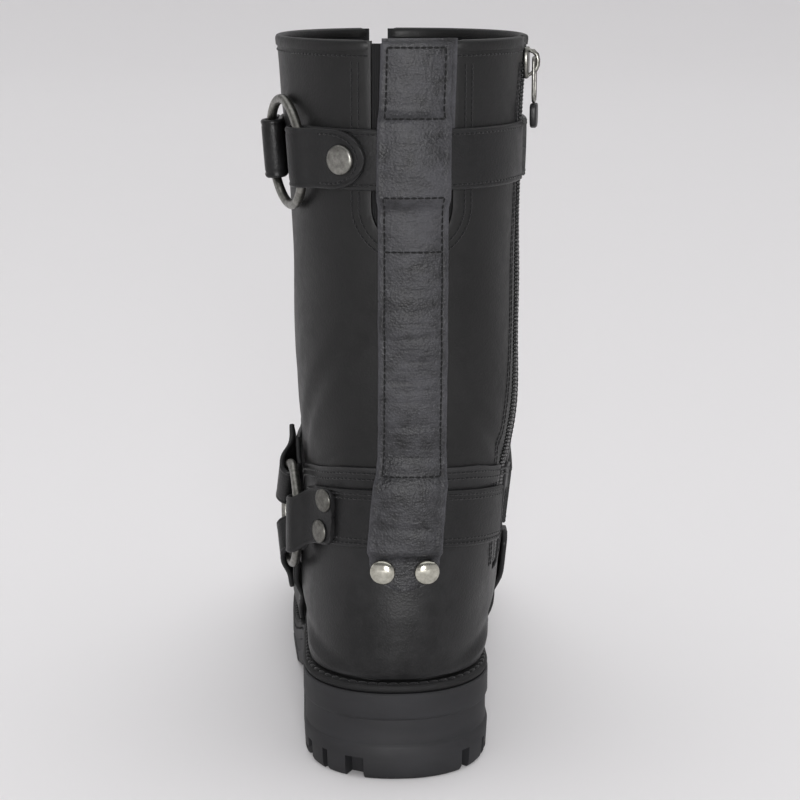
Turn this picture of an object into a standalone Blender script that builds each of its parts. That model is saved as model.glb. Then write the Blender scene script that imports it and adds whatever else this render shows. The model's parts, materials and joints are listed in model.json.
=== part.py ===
"""Left harness boot: lug sole, hollow leather upper, back zip, two ring harnesses."""
import math

import bmesh
import bpy
import numpy as np
from mathutils import Matrix, Vector
from mathutils.bvhtree import BVHTree

# Named sizes in metres: +X is the medial side, +Y the toe, +Z up
SOLE_LEDGE = 0.0050
HEEL_BACK_Y = -0.0350
TOE_TIP_Y = 0.2615
TOE_START_Y = 0.185
WELT_THICKNESS = 0.0035
WALL = 0.0022
GAP = 0.0003
STEP = 0.0013
COLLAR_Z = 0.312
STRAP_THICKNESS = 0.0022
STRIP_THICKNESS = 0.0020
STRIP_HALF = 0.0138
CALF_STRAP_Z = 0.2655
CALF_STRAP_HALF = 0.0122
ANKLE_STRAP_HALF = 0.0125
RING_RADIUS = 0.0219
RING_WIRE = 0.0020
RING_CLEAR = 0.0036
ANKLE_RING_CLEAR = 0.0073
SIDE_POINTS = 11
AXIS_X = 0.0045
AXIS_Y = 0.0280

# Round-ended cut at the back: its middle, half width and the height of its round end's centre
BACK_CUT_X = 0.0055
BACK_CUT_HALF = 0.0165
BACK_CUT_Z = 0.2465

# Fold of a strap round a ring's wire: its middle from the ring's centre, its reach and its rise
FOLD_CENTRE = 0.0181
FOLD_REACH = 0.0042
FOLD_RISE = 0.0036
RING_SPAN = 18.0

# Heel block: radius of its side, then angle, width and depth of each notch in it
HEEL_RADIUS = 0.0408
HEEL_NOTCHES = ((-28.0, 0.0085, 0.0070), (-50.0, 0.0032, 0.0050), (-68.0, 0.0050, 0.0055),
                (-92.0, 0.0050, 0.0055), (46.0, 0.0048, 0.0055), (68.0, 0.0036, 0.0050),
                (92.0, 0.0050, 0.0055), (6.0, 0.0024, 0.0030))
HEEL_CHANNELS = (-0.0125, 0.0085, 0.0270)
FOREFOOT_GROOVES = 8
GROOVE_START = 0.093
GROOVE_PITCH = 0.0195

# Heights of the zip slider and of the ankle strap's middle at the back
SLIDER_Z = 0.3015
ANKLE_STRAP_Z = 0.1160

LEATHER = ("black_leather", (0.045, 0.045, 0.045), 0.5, 0.0)
RUBBER = ("charcoal_rubber", (0.05, 0.05, 0.055), 0.8, 0.0)
ELASTIC = ("black_elastic", (0.01, 0.01, 0.01), 0.9, 0.0)
METAL = ("antique_nickel", (0.35, 0.34, 0.33), 0.35, 1.0)
BRIGHT = ("bright_nickel", (0.75, 0.75, 0.75), 0.2, 1.0)
ZIP_BLACK = ("zip_black", (0.03, 0.03, 0.035), 0.5, 0.3)

# Plan of the upper's bottom edge: lateral and medial x at a few places along the foot
PLAN_COLUMNS = ("y", "lateral", "medial")
PLAN = (
    (0.000, -0.0358, 0.0358),
    (0.030, -0.0362, 0.0352),
    (0.060, -0.0372, 0.0328),
    (0.085, -0.0392, 0.0335),
    (0.110, -0.0415, 0.0390),
    (0.135, -0.0430, 0.0460),
    (0.160, -0.0435, 0.0490),
    (0.185, -0.0425, 0.0478),
)

# Height of the sole's top and underside along the foot
PROFILE_COLUMNS = ("y", "top", "under")
PROFILE = (
    (-0.045, 0.0430, 0.0000),
    (0.030, 0.0430, 0.0000),
    (0.050, 0.0400, 0.0200),
    (0.070, 0.0340, 0.0130),
    (0.090, 0.0268, 0.0045),
    (0.110, 0.0205, 0.0000),
    (0.130, 0.0172, 0.0000),
    (0.150, 0.0165, 0.0000),
    (0.180, 0.0172, 0.0008),
    (0.210, 0.0195, 0.0030),
    (0.240, 0.0240, 0.0072),
    (0.270, 0.0290, 0.0115),
)

# Each row is one section of the boot, a line from its back or bottom point to its front or top
SECTION_COLUMNS = ("back_y", "back_z", "front_y", "front_z", "back_x", "front_x",
                   "half", "widest", "back_power", "front_power", "on_sole")
SECTIONS = (
    (-0.0425, 0.3300, 0.0925, 0.3300, 0.0035, 0.0035, 0.0538, 0.50, 2.2, 2.2, 0.0),
    (-0.0420, 0.3120, 0.0920, 0.3120, 0.0035, 0.0035, 0.0530, 0.50, 2.2, 2.2, 0.0),
    (-0.0418, 0.2900, 0.0917, 0.2900, 0.0033, 0.0035, 0.0513, 0.50, 2.2, 2.2, 0.0),
    (-0.0415, 0.2650, 0.0912, 0.2650, 0.0042, 0.0045, 0.0498, 0.50, 2.2, 2.2, 0.0),
    (-0.0412, 0.2350, 0.0905, 0.2350, 0.0049, 0.0050, 0.0489, 0.50, 2.2, 2.2, 0.0),
    (-0.0405, 0.2050, 0.0903, 0.2050, 0.0054, 0.0055, 0.0487, 0.50, 2.2, 2.2, 0.0),
    (-0.0392, 0.1780, 0.0908, 0.1790, 0.0056, 0.0058, 0.0488, 0.50, 2.2, 2.2, 0.0),
    (-0.0374, 0.1560, 0.0930, 0.1600, 0.0060, 0.0066, 0.0480, 0.49, 2.2, 2.2, 0.0),
    (-0.0358, 0.1340, 0.0980, 0.1435, 0.0055, 0.0070, 0.0462, 0.48, 2.2, 2.2, 0.0),
    (-0.0352, 0.1120, 0.1060, 0.1290, 0.0045, 0.0070, 0.0446, 0.47, 2.2, 2.2, 0.0),
    (-0.0362, 0.0900, 0.1165, 0.1165, 0.0028, 0.0068, 0.0438, 0.46, 2.2, 2.1, 0.0),
    (-0.0378, 0.0700, 0.1280, 0.1068, 0.0012, 0.0065, 0.0434, 0.45, 2.2, 2.1, 0.0),
    (-0.0376, 0.0550, 0.1390, 0.1000, 0.0004, 0.0062, 0.0430, 0.43, 2.2, 2.1, 0.0),
    (-0.0345, 0.0433, 0.1480, 0.0955, 0.0000, 0.0060, 0.0040, 0.40, 2.2, 2.1, 1.0),
    (-0.0325, 0.0433, 0.1530, 0.0930, 0.0000, 0.0060, 0.0040, 0.40, 2.2, 2.1, 1.0),
    (-0.0290, 0.0433, 0.1575, 0.0908, 0.0000, 0.0060, 0.0042, 0.39, 2.2, 2.1, 1.0),
    (-0.0200, 0.0433, 0.1630, 0.0883, 0.0000, 0.0060, 0.0045, 0.38, 2.2, 2.1, 1.0),
    (-0.0020, 0.0433, 0.1710, 0.0852, 0.0000, 0.0058, 0.0050, 0.36, 2.2, 2.1, 1.0),
    (0.0250, 0.0433, 0.1830, 0.0808, -0.0005, 0.0055, 0.0050, 0.34, 2.2, 2.1, 1.0),
    (0.0560, 0.0380, 0.1950, 0.0768, -0.0015, 0.0050, 0.0044, 0.32, 2.2, 2.1, 1.0),
    (0.0860, 0.0280, 0.2065, 0.0735, -0.0015, 0.0045, 0.0036, 0.31, 2.2, 2.1, 1.0),
    (0.1140, 0.0190, 0.2170, 0.0710, -0.0005, 0.0040, 0.0030, 0.30, 2.2, 2.1, 1.0),
    (0.1400, 0.0170, 0.2265, 0.0683, 0.0015, 0.0038, 0.0026, 0.30, 2.2, 2.1, 1.0),
    (0.1660, 0.0170, 0.2350, 0.0645, 0.0027, 0.0035, 0.0022, 0.30, 2.2, 2.1, 1.0),
    (0.1900, 0.0180, 0.2430, 0.0598, 0.0027, 0.0032, 0.0018, 0.32, 2.2, 2.1, 1.0),
    (0.2120, 0.0200, 0.2500, 0.0540, 0.0027, 0.0030, 0.0014, 0.34, 2.2, 2.1, 1.0),
    (0.2310, 0.0225, 0.2555, 0.0475, 0.0028, 0.0030, 0.0010, 0.36, 2.2, 2.1, 1.0),
    (0.2440, 0.0250, 0.2585, 0.0415, 0.0030, 0.0030, 0.0006, 0.40, 2.2, 2.2, 1.0),
    (0.2525, 0.0265, 0.2600, 0.0360, 0.0030, 0.0030, 0.0003, 0.45, 2.2, 2.2, 1.0),
)

# Zip line on the medial side, from the collar down
ZIP_COLUMNS = ("z", "y")
ZIP_LINE = (
    (0.083, 0.0030),
    (0.100, 0.0000),
    (0.137, -0.0030),
    (0.200, 0.0020),
    (0.312, 0.0055),
)
ZIP_HALF = 0.0062
TEETH_HALF = 0.0036

# Middle line of the strip up the back
STRIP_COLUMNS = ("z", "x")
STRIP_LINE = (
    (0.085, 0.0026),
    (0.100, 0.0028),
    (0.120, 0.0041),
    (0.140, 0.0057),
    (0.200, 0.0059),
    (0.260, 0.0058),
    (0.311, 0.0070),
)

# Height of the ankle strap's middle line by angle round the leg, 0 at the back, 90 medial
ANKLE_COLUMNS = ("angle", "z")
ANKLE_LINE = (
    (-80.0, 0.1030),
    (-60.0, 0.1065),
    (-42.0, 0.1115),
    (0.0, 0.1160),
    (45.0, 0.1110),
    (85.0, 0.1065),
)

# Middle line of the instep strap from the ring over the front to the medial side
INSTEP_COLUMNS = ("angle", "z", "half")
INSTEP_LINE = (
    (-118.0, 0.1230, 0.0125),
    (-135.0, 0.1330, 0.0120),
    (-158.0, 0.1450, 0.0112),
    (-180.0, 0.1480, 0.0110),
    (-205.0, 0.1440, 0.0112),
    (-228.0, 0.1310, 0.0120),
    (-250.0, 0.1130, 0.0130),
    (-263.0, 0.1065, 0.0135),
)


# Side outlines of the two overlays
OUTLINE_COLUMNS = ("y", "z")
COUNTER_OUTLINE = (
    (-0.080, 0.0478), (-0.080, 0.1375), (-0.036, 0.1375), (-0.015, 0.1330), (0.010, 0.1280),
    (0.030, 0.1180), (0.046, 0.1000), (0.056, 0.0750), (0.060, 0.0200), (0.030, 0.0200), (0.026, 0.0478),
)
VAMP_OUTLINE = (
    (0.064, 0.0100), (0.061, 0.0750), (0.068, 0.1000), (0.082, 0.1180), (0.090, 0.1340),
    (0.0945, 0.1400), (0.120, 0.1600), (0.300, 0.1600), (0.300, 0.0100),
)


def column(table, columns, name):
    """One named column of a short table as an array."""
    return np.array([row[columns.index(name)] for row in table], float)


def smooth(xs, ys, at):
    """Monotone cubic through the rows of a table."""
    at = np.clip(np.asarray(at, float), xs[0], xs[-1])
    step = np.diff(xs)
    slope = np.diff(ys) / step
    tangent = np.zeros(len(xs))
    tangent[0] = slope[0]
    tangent[-1] = slope[-1]
    for i in range(1, len(xs) - 1):
        if slope[i - 1] * slope[i] > 0:
            a = 2 * step[i] + step[i - 1]
            b = step[i] + 2 * step[i - 1]
            tangent[i] = (a + b) / (a / slope[i - 1] + b / slope[i])
    i = np.clip(np.searchsorted(xs, at) - 1, 0, len(xs) - 2)
    h = step[i]
    t = (at - xs[i]) / h
    first = (1 + 2 * t) * (1 - t) ** 2 * ys[i] + t * (1 - t) ** 2 * h * tangent[i]
    last = t * t * (3 - 2 * t) * ys[i + 1] + t * t * (t - 1) * h * tangent[i + 1]
    return first + last


def look_up(table, columns, name, at):
    """A named column of a table at a value of its first column."""
    return smooth(column(table, columns, columns[0]), column(table, columns, name), at)


def plan_half(y):
    """Half width of the upper's bottom edge at y, closed round at heel and toe."""
    y = np.asarray(y, float)
    lateral = look_up(PLAN, PLAN_COLUMNS, "lateral", np.clip(y, 0, TOE_START_Y))
    medial = look_up(PLAN, PLAN_COLUMNS, "medial", np.clip(y, 0, TOE_START_Y))
    half = (medial - lateral) / 2
    heel = np.clip(-y / -HEEL_BACK_Y, 0, 1)
    toe = np.clip((y - TOE_START_Y) / (TOE_TIP_Y - TOE_START_Y), 0, 1)
    half = half * np.clip(1 - heel ** 2.2, 0, 1) ** (1 / 2.2)
    return half * np.clip(1 - toe ** 2.2, 0, 1) ** (1 / 2.2)


def plan_middle(y):
    """Middle of the upper's bottom edge at y."""
    y = np.clip(np.asarray(y, float), 0, TOE_START_Y)
    lateral = look_up(PLAN, PLAN_COLUMNS, "lateral", y)
    medial = look_up(PLAN, PLAN_COLUMNS, "medial", y)
    return (lateral + medial) / 2


def profile(name, y):
    """Height of the sole's top or underside at y."""
    return look_up(PROFILE, PROFILE_COLUMNS, name, y)


def side_spread(on_sole, widest, back_power, front_power, count):
    """Places of one side's points along a section, 0 at its back and 1 at its front."""
    turn = np.pi * np.arange(count + 1) / count
    back = widest * (1 - np.clip(np.cos(turn), 0, 1) ** (2 / back_power))
    front = widest + (1 - widest) * np.clip(-np.cos(turn), 0, 1) ** (2 / front_power)
    leg = np.where(turn < np.pi / 2, back, front)
    foot_turn = np.clip(np.pi * (np.arange(count + 1) - 1) / (count - 1), 0, np.pi)
    low = widest * foot_turn / (np.pi / 2)
    high = widest + (1 - widest) * np.clip(-np.cos(foot_turn), 0, 1) ** (2 / front_power)
    foot = np.where(foot_turn < np.pi / 2, low, high)
    return leg * (1 - on_sole) + foot * on_sole


def boot_grid(places, count):
    """Points of the boot's outside, a closed loop of 2 * count points for each section."""
    index = np.arange(len(SECTIONS), dtype=float)
    rows = []
    for place in places:
        value = {}
        for name in SECTION_COLUMNS:
            value[name] = float(smooth(index, column(SECTIONS, SECTION_COLUMNS, name), place))
        sole = value["on_sole"]
        t = side_spread(sole, value["widest"], value["back_power"], value["front_power"], count)
        back_z = value["back_z"] * (1 - sole) + sole * (profile("top", value["back_y"]) + 2 * GAP)
        y = value["back_y"] + t * (value["front_y"] - value["back_y"])
        z = back_z + t * (value["front_z"] - back_z)
        widest = value["widest"]
        near = np.clip((widest - t) / widest, 0, 1)
        far = np.clip((t - widest) / (1 - widest), 0, 1)
        close_back = np.clip(1 - near ** value["back_power"], 0, 1) ** (1 / value["back_power"])
        close_front = np.clip(1 - far ** value["front_power"], 0, 1) ** (1 / value["front_power"])
        leg = value["half"] * close_back * close_front
        y_widest = value["back_y"] + widest * (value["front_y"] - value["back_y"])
        here = float(plan_half(y_widest))
        swell = np.sin(np.pi / 2 * np.clip(t / widest, 0, 1))
        foot = plan_half(y) / max(here, 1e-6) * (here + value["half"] * swell) * close_front
        half = leg * (1 - sole) + foot * sole
        middle = value["back_x"] + t * (value["front_x"] - value["back_x"])
        lateral = np.stack([middle - half, y, z], 1)
        medial = np.stack([middle + half, y, z], 1)
        start = np.array([[value["back_x"], value["back_y"], back_z]])
        rows.append(np.vstack([start, lateral[1:], medial[1:-1][::-1]]))
    return np.array(rows)


def grid_normals(grid, places):
    """Outward normals of the grid, from its sides alone along the sole's edge."""
    along = np.gradient(grid, axis=0)
    round_it = np.roll(grid, -1, axis=1) - np.roll(grid, 1, axis=1)
    on_sole = np.array(places) > 12.5
    last = grid.shape[1] - 1
    round_it[on_sole, 1] = grid[on_sole, 2] - grid[on_sole, 1]
    round_it[on_sole, last] = grid[on_sole, last] - grid[on_sole, last - 1]
    normal = np.cross(round_it, along)
    normal /= np.maximum(np.linalg.norm(normal, axis=2, keepdims=True), 1e-12)
    normal[on_sole, 0] = (0, 0, -1)
    return normal


def new_object(name, mesh, finish, parent=None):
    """Link a mesh as a part with its own material."""
    item = bpy.data.objects.new(name, mesh)
    PARTS.objects.link(item)
    material = bpy.data.materials.new(name + "_" + finish[0])
    material.use_nodes = True
    shader = material.node_tree.nodes["Principled BSDF"]
    shader.inputs["Base Color"].default_value = (*finish[1], 1)
    shader.inputs["Roughness"].default_value = finish[2]
    shader.inputs["Metallic"].default_value = finish[3]
    item.data.materials.append(material)
    if parent is not None:
        item.parent = parent
    return item


def mesh_from(points, faces, name):
    """A mesh from points and faces, its faces turned outward."""
    shape = bmesh.new()
    verts = [shape.verts.new(p) for p in points]
    for face in faces:
        shape.faces.new([verts[i] for i in face])
    bmesh.ops.recalc_face_normals(shape, faces=shape.faces)
    if shape.calc_volume(signed=True) < 0:
        bmesh.ops.reverse_faces(shape, faces=shape.faces)
    mesh = bpy.data.meshes.new(name)
    shape.to_mesh(mesh)
    shape.free()
    return mesh


def loft(loops, name, closed=False):
    """A solid through equal closed loops, with flat strips over its two ends."""
    count = len(loops[0])
    points = [p for loop in loops for p in loop]
    faces = []
    rows = len(loops) if closed else len(loops) - 1
    for r in range(rows):
        here = r * count
        above = ((r + 1) % len(loops)) * count
        for c in range(count):
            d = (c + 1) % count
            faces.append((here + c, here + d, above + d, above + c))
    if not closed:
        half = count // 2
        last = (len(loops) - 1) * count
        for c in range(half - 1):
            pair = (c, c + 1, count - 2 - c, count - 1 - c)
            faces.append(pair)
            faces.append(tuple(last + i for i in pair))
    return mesh_from(points, faces, name)


def boot_form(name, grow, drop=0.0, first=0, rows=None):
    """The boot's form grown or shrunk along its normals, as a closed mesh."""
    places = rows if rows is not None else CAD_PLACES[first:]
    grid = boot_grid(places, SIDE_POINTS)
    grid = grid + grid_normals(grid, places) * grow
    on_sole = np.array(places) > 12.5
    last = grid.shape[1] - 1
    level = boot_grid(places, SIDE_POINTS)[:, 0, 2]
    for c in (0, 1, last):
        grid[on_sole, c, 2] = level[on_sole] - drop
    points = grid.reshape(-1, 3)
    count = grid.shape[1]
    faces = []
    for r in range(len(places) - 1):
        for c in range(count):
            here = r * count + c
            beside = r * count + (c + 1) % count
            faces.append((here, beside, beside + count))
            faces.append((here, beside + count, here + count))
    points = list(points)
    for r in (0, len(places) - 1):
        ring = list(range(r * count, (r + 1) * count))
        points.append(np.mean([points[i] for i in ring], axis=0))
        centre = len(points) - 1
        faces += [(ring[c], ring[(c + 1) % count], centre) for c in range(count)]
    return mesh_from(points, faces, name)


def cutter(name, mesh):
    """Link a mesh as a cutting form that doesn't render."""
    item = bpy.data.objects.new(name, mesh)
    CUTTERS.objects.link(item)
    item.hide_render = True
    item.display_type = "WIRE"
    return item


def cut(item, other, operation="DIFFERENCE"):
    """Apply a Boolean of one object with another."""
    step = item.modifiers.new("cut", "BOOLEAN")
    step.operation = operation
    step.object = other
    step.solver = "EXACT"
    with bpy.context.temp_override(object=item, active_object=item):
        bpy.ops.object.modifier_apply(modifier=step.name)


def prism(outline, low, high, axis, name):
    """A flat outline drawn out along one axis, as a mesh."""
    shape = bmesh.new()
    place = {"x": lambda u, v: (low, u, v), "y": lambda u, v: (u, low, v),
             "z": lambda u, v: (u, v, low)}[axis]
    verts = [shape.verts.new(place(u, v)) for u, v in outline]
    face = shape.faces.new(verts)
    moved = bmesh.ops.extrude_face_region(shape, geom=[face])
    shift = {"x": (high - low, 0, 0), "y": (0, high - low, 0), "z": (0, 0, high - low)}[axis]
    new_verts = [g for g in moved["geom"] if isinstance(g, bmesh.types.BMVert)]
    bmesh.ops.translate(shape, verts=new_verts, vec=shift)
    bmesh.ops.recalc_face_normals(shape, faces=shape.faces)
    mesh = bpy.data.meshes.new(name)
    shape.to_mesh(mesh)
    shape.free()
    return mesh


def box_mesh(size, centre, turn_z, name):
    """A box of a size about a centre, turned about Z."""
    shape = bmesh.new()
    bmesh.ops.create_cube(shape, size=1.0)
    matrix = Matrix.Translation(centre) @ Matrix.Rotation(turn_z, 4, "Z") @ Matrix.Diagonal((*size, 1))
    bmesh.ops.transform(shape, matrix=matrix, verts=shape.verts)
    mesh = bpy.data.meshes.new(name)
    shape.to_mesh(mesh)
    shape.free()
    return mesh


def surface_point(angle, z, level=0.0):
    """Point at an angle round the leg and a height, a level above the leather, and its normal."""
    turn = math.radians(angle)
    direction = Vector((math.sin(turn), -math.cos(turn), 0))
    start = Vector((AXIS_X, AXIS_Y, z))
    hit, normal, index, distance = SKIN.ray_cast(start, direction)
    if normal.dot(direction) < 0:
        normal = -normal
    return hit + normal * level, normal


def angle_of(point):
    """Angle of a point round the leg's axis, 0 at the back and 90 at the medial side."""
    return math.degrees(math.atan2(point[0] - AXIS_X, -(point[1] - AXIS_Y)))


def on_surface(point, level):
    """A point moved level with the leather along the ray from the leg's axis."""
    return surface_point(angle_of(point), point[2], level)[0]


def surface_station(angle, z, half, low, high, across=(0, 0, 1), rows=5):
    """Loop of a band that lies on the leather, from its inner to its outer face."""
    middle, normal = surface_point(angle, z)
    across = Vector(across).normalized()
    inner = []
    outer = []
    for v in np.linspace(-1, 1, rows):
        spot = middle + across * (half * v)
        inner.append(on_surface(spot, low))
        outer.append(on_surface(spot, high))
    return inner + outer[::-1]


def local_station(frame, along, height, tilt, half, thickness, rows):
    """Loop of a band where it goes round the ring's wire."""
    centre, away, normal, across = frame
    lean = Vector((math.cos(tilt), math.sin(tilt)))
    loops = []
    for side in (-0.5, 0.5):
        a = along + lean.x * thickness * side
        b = height + lean.y * thickness * side
        loops.append([centre + away * a + normal * b + across * (half * v)
                      for v in np.linspace(-1, 1, rows)])
    return loops[0] + loops[1][::-1]


def ring_frame(angle, z, level):
    """Centre, rearward direction, outward normal and up direction of a ring on the leather."""
    point, normal = surface_point(angle, z, level)
    above = surface_point(angle, z + 0.012)[0]
    below = surface_point(angle, z - 0.012)[0]
    up = (above - below).normalized()
    rear = surface_point(angle + RING_SPAN, z)[0] - surface_point(angle - RING_SPAN, z)[0]
    rear = (rear - up * rear.dot(up)).normalized()
    out = rear.cross(up)
    if out.dot(normal) < 0:
        out = -out
    return point, rear, out, up


def fold_stations(frame, half, thickness, rows=5):
    """Loops of a band that comes in under the wire, folds round it and goes back over it."""
    loops = []
    for turn in np.linspace(0, 180, 7):
        a = math.radians(turn)
        along = FOLD_CENTRE - FOLD_REACH * math.sin(a)
        height = 0.0001 - FOLD_RISE * math.cos(a)
        loops.append(local_station(frame, along, height, math.pi / 2 - a, half, thickness, rows))
    loops.append(local_station(frame, 0.0240, 0.0037, 1.5 * math.pi, half, thickness, rows))
    return loops


def disc(name, centre, normal, radius, height, finish, dome):
    """A rivet or snap cap, turned from its profile about its own axis."""
    profile_points = [(0.0, height)]
    steps = 3
    for i in range(1, steps + 1):
        a = math.pi / 2 * i / steps
        out = radius * math.sin(a)
        rise = height * ((1 - dome) + dome * math.cos(a)) if i < steps else 0.3 * height * (1 - dome)
        profile_points.append((out, max(rise, 0.0)))
    profile_points.append((radius * 0.98, 0.0) if profile_points[-1][1] > 0 else (0.0, 0.0))
    if profile_points[-1][0] > 0:
        profile_points.append((0.0, 0.0))
    shape = bmesh.new()
    verts = [shape.verts.new((x, 0, z)) for x, z in profile_points]
    edges = [shape.edges.new((verts[i], verts[i + 1])) for i in range(len(verts) - 1)]
    bmesh.ops.spin(shape, geom=verts + edges, axis=(0, 0, 1), cent=(0, 0, 0), steps=16, angle=2 * math.pi)
    bmesh.ops.remove_doubles(shape, verts=shape.verts, dist=1e-6)
    bmesh.ops.recalc_face_normals(shape, faces=shape.faces)
    mesh = bpy.data.meshes.new(name)
    shape.to_mesh(mesh)
    shape.free()
    item = new_object(name, mesh, finish)
    item.location = centre
    item.rotation_euler = Vector(normal).to_track_quat("Z", "Y").to_euler()
    return item


def sole_rows(start, end, count):
    """Stations along the foot, closer together near the ends."""
    return [start + (end - start) * (1 - math.cos(math.pi * k / count)) / 2 for k in range(count + 1)]


def outline_row(y, grow):
    """Lateral and medial points of the outline at a station, grown outward."""
    reach = 1e-4
    y = min(max(y, HEEL_BACK_Y + 2e-5), TOE_TIP_Y - 2e-5)
    half = float(plan_half(y))
    slope = float(plan_half(y + reach) - plan_half(y - reach)) / (2 * reach)
    length = math.hypot(1, slope)
    shift_y = -slope / length * grow
    shift_x = grow / length
    middle = float(plan_middle(y))
    return (middle - half - shift_x, y + shift_y), (middle + half + shift_x, y + shift_y)


def sole_solid(name, levels, y_rows, finish):
    """A sole piece lofted along the foot; levels give height and how far each stands in."""
    loops = []
    for y in y_rows:
        lateral = []
        medial = []
        for height_of, inset in levels:
            left, right = outline_row(y, SOLE_LEDGE - inset)
            lateral.append(Vector((left[0], left[1], height_of(left[1]))))
            medial.append(Vector((right[0], right[1], height_of(right[1]))))
        loops.append(lateral + medial[::-1])
    return new_object(name, loft(loops, name), finish)


def make_sole():
    """Outsole with heel, side band and lugs, then the welt."""
    under = lambda y: float(profile("under", y))
    top = lambda y: float(profile("top", y)) - WELT_THICKNESS - GAP
    part = lambda f: (lambda y: under(y) + f * (top(y) - under(y)))
    levels = ((part(0.0), 0.0016), (part(0.05), 0.0006), (part(0.38), 0.0), (part(0.41), 0.0009),
              (part(0.70), 0.0009), (part(0.73), 0.0), (part(1.0), 0.0))
    ends = sole_rows(HEEL_BACK_Y, TOE_TIP_Y, 28)
    rows = sorted([y for y in ends if abs(y - 0.043) > 0.013] + [0.032, 0.0395, 0.0425, 0.0475, 0.053])
    sole = sole_solid("outsole", levels, rows, RUBBER)
    for angle, width, depth in HEEL_NOTCHES:
        turn = math.radians(angle)
        way = Vector((math.sin(turn), -math.cos(turn), 0))
        centre = way * (HEEL_RADIUS + 0.010 - depth) + Vector((0, 0, 0.006))
        size = (width, 0.020, 0.0200)
        cut(sole, cutter("heel_notch", box_mesh(size, centre, turn, "heel_notch")))
    for y in HEEL_CHANNELS:
        for side in (-1, 1):
            centre = (side * 0.0270, y, 0.0)
            size = (0.0340, 0.0045, 0.0100)
            cut(sole, cutter("heel_channel", box_mesh(size, centre, side * 0.15, "heel_channel")))
    for i in range(FOREFOOT_GROOVES):
        y = GROOVE_START + GROOVE_PITCH * i
        lift = float(profile("under", y))
        for side in (-1, 1):
            size = (0.060, 0.0052, 0.0100)
            centre = (side * 0.037 + 0.002, y + 0.003, lift)
            cut(sole, cutter("groove", box_mesh(size, centre, side * 0.22, "groove")))
    welt_low = lambda y: float(profile("top", y)) - WELT_THICKNESS
    welt_mid = lambda y: float(profile("top", y)) - WELT_THICKNESS * 0.5
    welt_top = lambda y: float(profile("top", y))
    levels = ((welt_low, 0.0006), (welt_mid, 0.0), (welt_top, 0.0006))
    welt = sole_solid("welt", levels, rows, RUBBER)
    return sole, welt


def make_upper():
    """The hollow upper: outer form less inner form, then its openings."""
    outer = new_object("upper", boot_form("upper", 0.0), LEATHER)
    inner = cutter("upper_inside", boot_form("upper_inside", -WALL, drop=0.006))
    cut(outer, inner)
    above = box_mesh((0.3, 0.3, 0.1), (0, 0, COLLAR_Z + 0.05), 0, "above_collar")
    cut(outer, cutter("above_collar", above))
    slot = [(BACK_CUT_X - BACK_CUT_HALF, 0.340)]
    for a in range(0, 181, 20):
        t = math.radians(a)
        slot.append((BACK_CUT_X - BACK_CUT_HALF * math.cos(t), BACK_CUT_Z - BACK_CUT_HALF * math.sin(t)))
    slot.append((BACK_CUT_X + BACK_CUT_HALF, 0.340))
    cut(outer, cutter("back_cut", prism(slot, -0.08, -0.005, "y", "back_cut")))
    notch = [(-0.0095, 0.340), (-0.0095, 0.2965), (-0.0080, 0.2930), (-0.0050, 0.2915),
             (-0.0020, 0.2930), (-0.0005, 0.2965), (-0.0005, 0.340)]
    cut(outer, cutter("front_notch", prism(notch, 0.06, 0.12, "y", "front_notch")))
    zip_cut = prism(zip_outline(ZIP_HALF + GAP, 0.0828, 0.340), 0.02, 0.09, "x", "zip_cut")
    cut(outer, cutter("zip_cut", zip_cut))
    return outer


def make_overlay(name, outline):
    """A second layer of leather over part of the upper, cut between two larger forms."""
    layer = new_object(name, boot_form(name, STEP, drop=-0.0004), LEATHER)
    cut(layer, cutter(name + "_region", prism(outline, -0.09, 0.09, "x", name + "_region")), "INTERSECT")
    cut(layer, cutter(name + "_inside", boot_form(name + "_inside", GAP)))
    return layer


def make_overlays():
    """Heel counter and vamp."""
    counter = make_overlay("heel_counter", COUNTER_OUTLINE)
    zip_gap = prism(zip_outline(ZIP_HALF + GAP, 0.0825, 0.340), 0.02, 0.09, "x", "zip_gap")
    cut(counter, cutter("zip_gap", zip_gap))
    make_overlay("vamp", VAMP_OUTLINE)


def zip_outline(half, low, high):
    """Side outline of the zip's slot."""
    heights = [low, low + 0.001] + list(np.linspace(low + 0.006, COLLAR_Z, 26)) + [high]
    left = []
    right = []
    for z in heights:
        y = float(look_up(ZIP_LINE, ZIP_COLUMNS, "y", z))
        left.append((y - half, z))
        right.append((y + half, z))
    return left + right[::-1]


def zip_angle(z):
    """Angle round the leg of the zip's middle at a height."""
    return angle_at_y(float(look_up(ZIP_LINE, ZIP_COLUMNS, "y", z)), z)


def angle_at_y(target, z):
    """Angle at the medial side at which the leather has a given y."""
    low = 40.0
    high = 110.0
    for _ in range(30):
        middle = (low + high) / 2
        if surface_point(middle, z)[0].y < target:
            low = middle
        else:
            high = middle
    return (low + high) / 2


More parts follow.
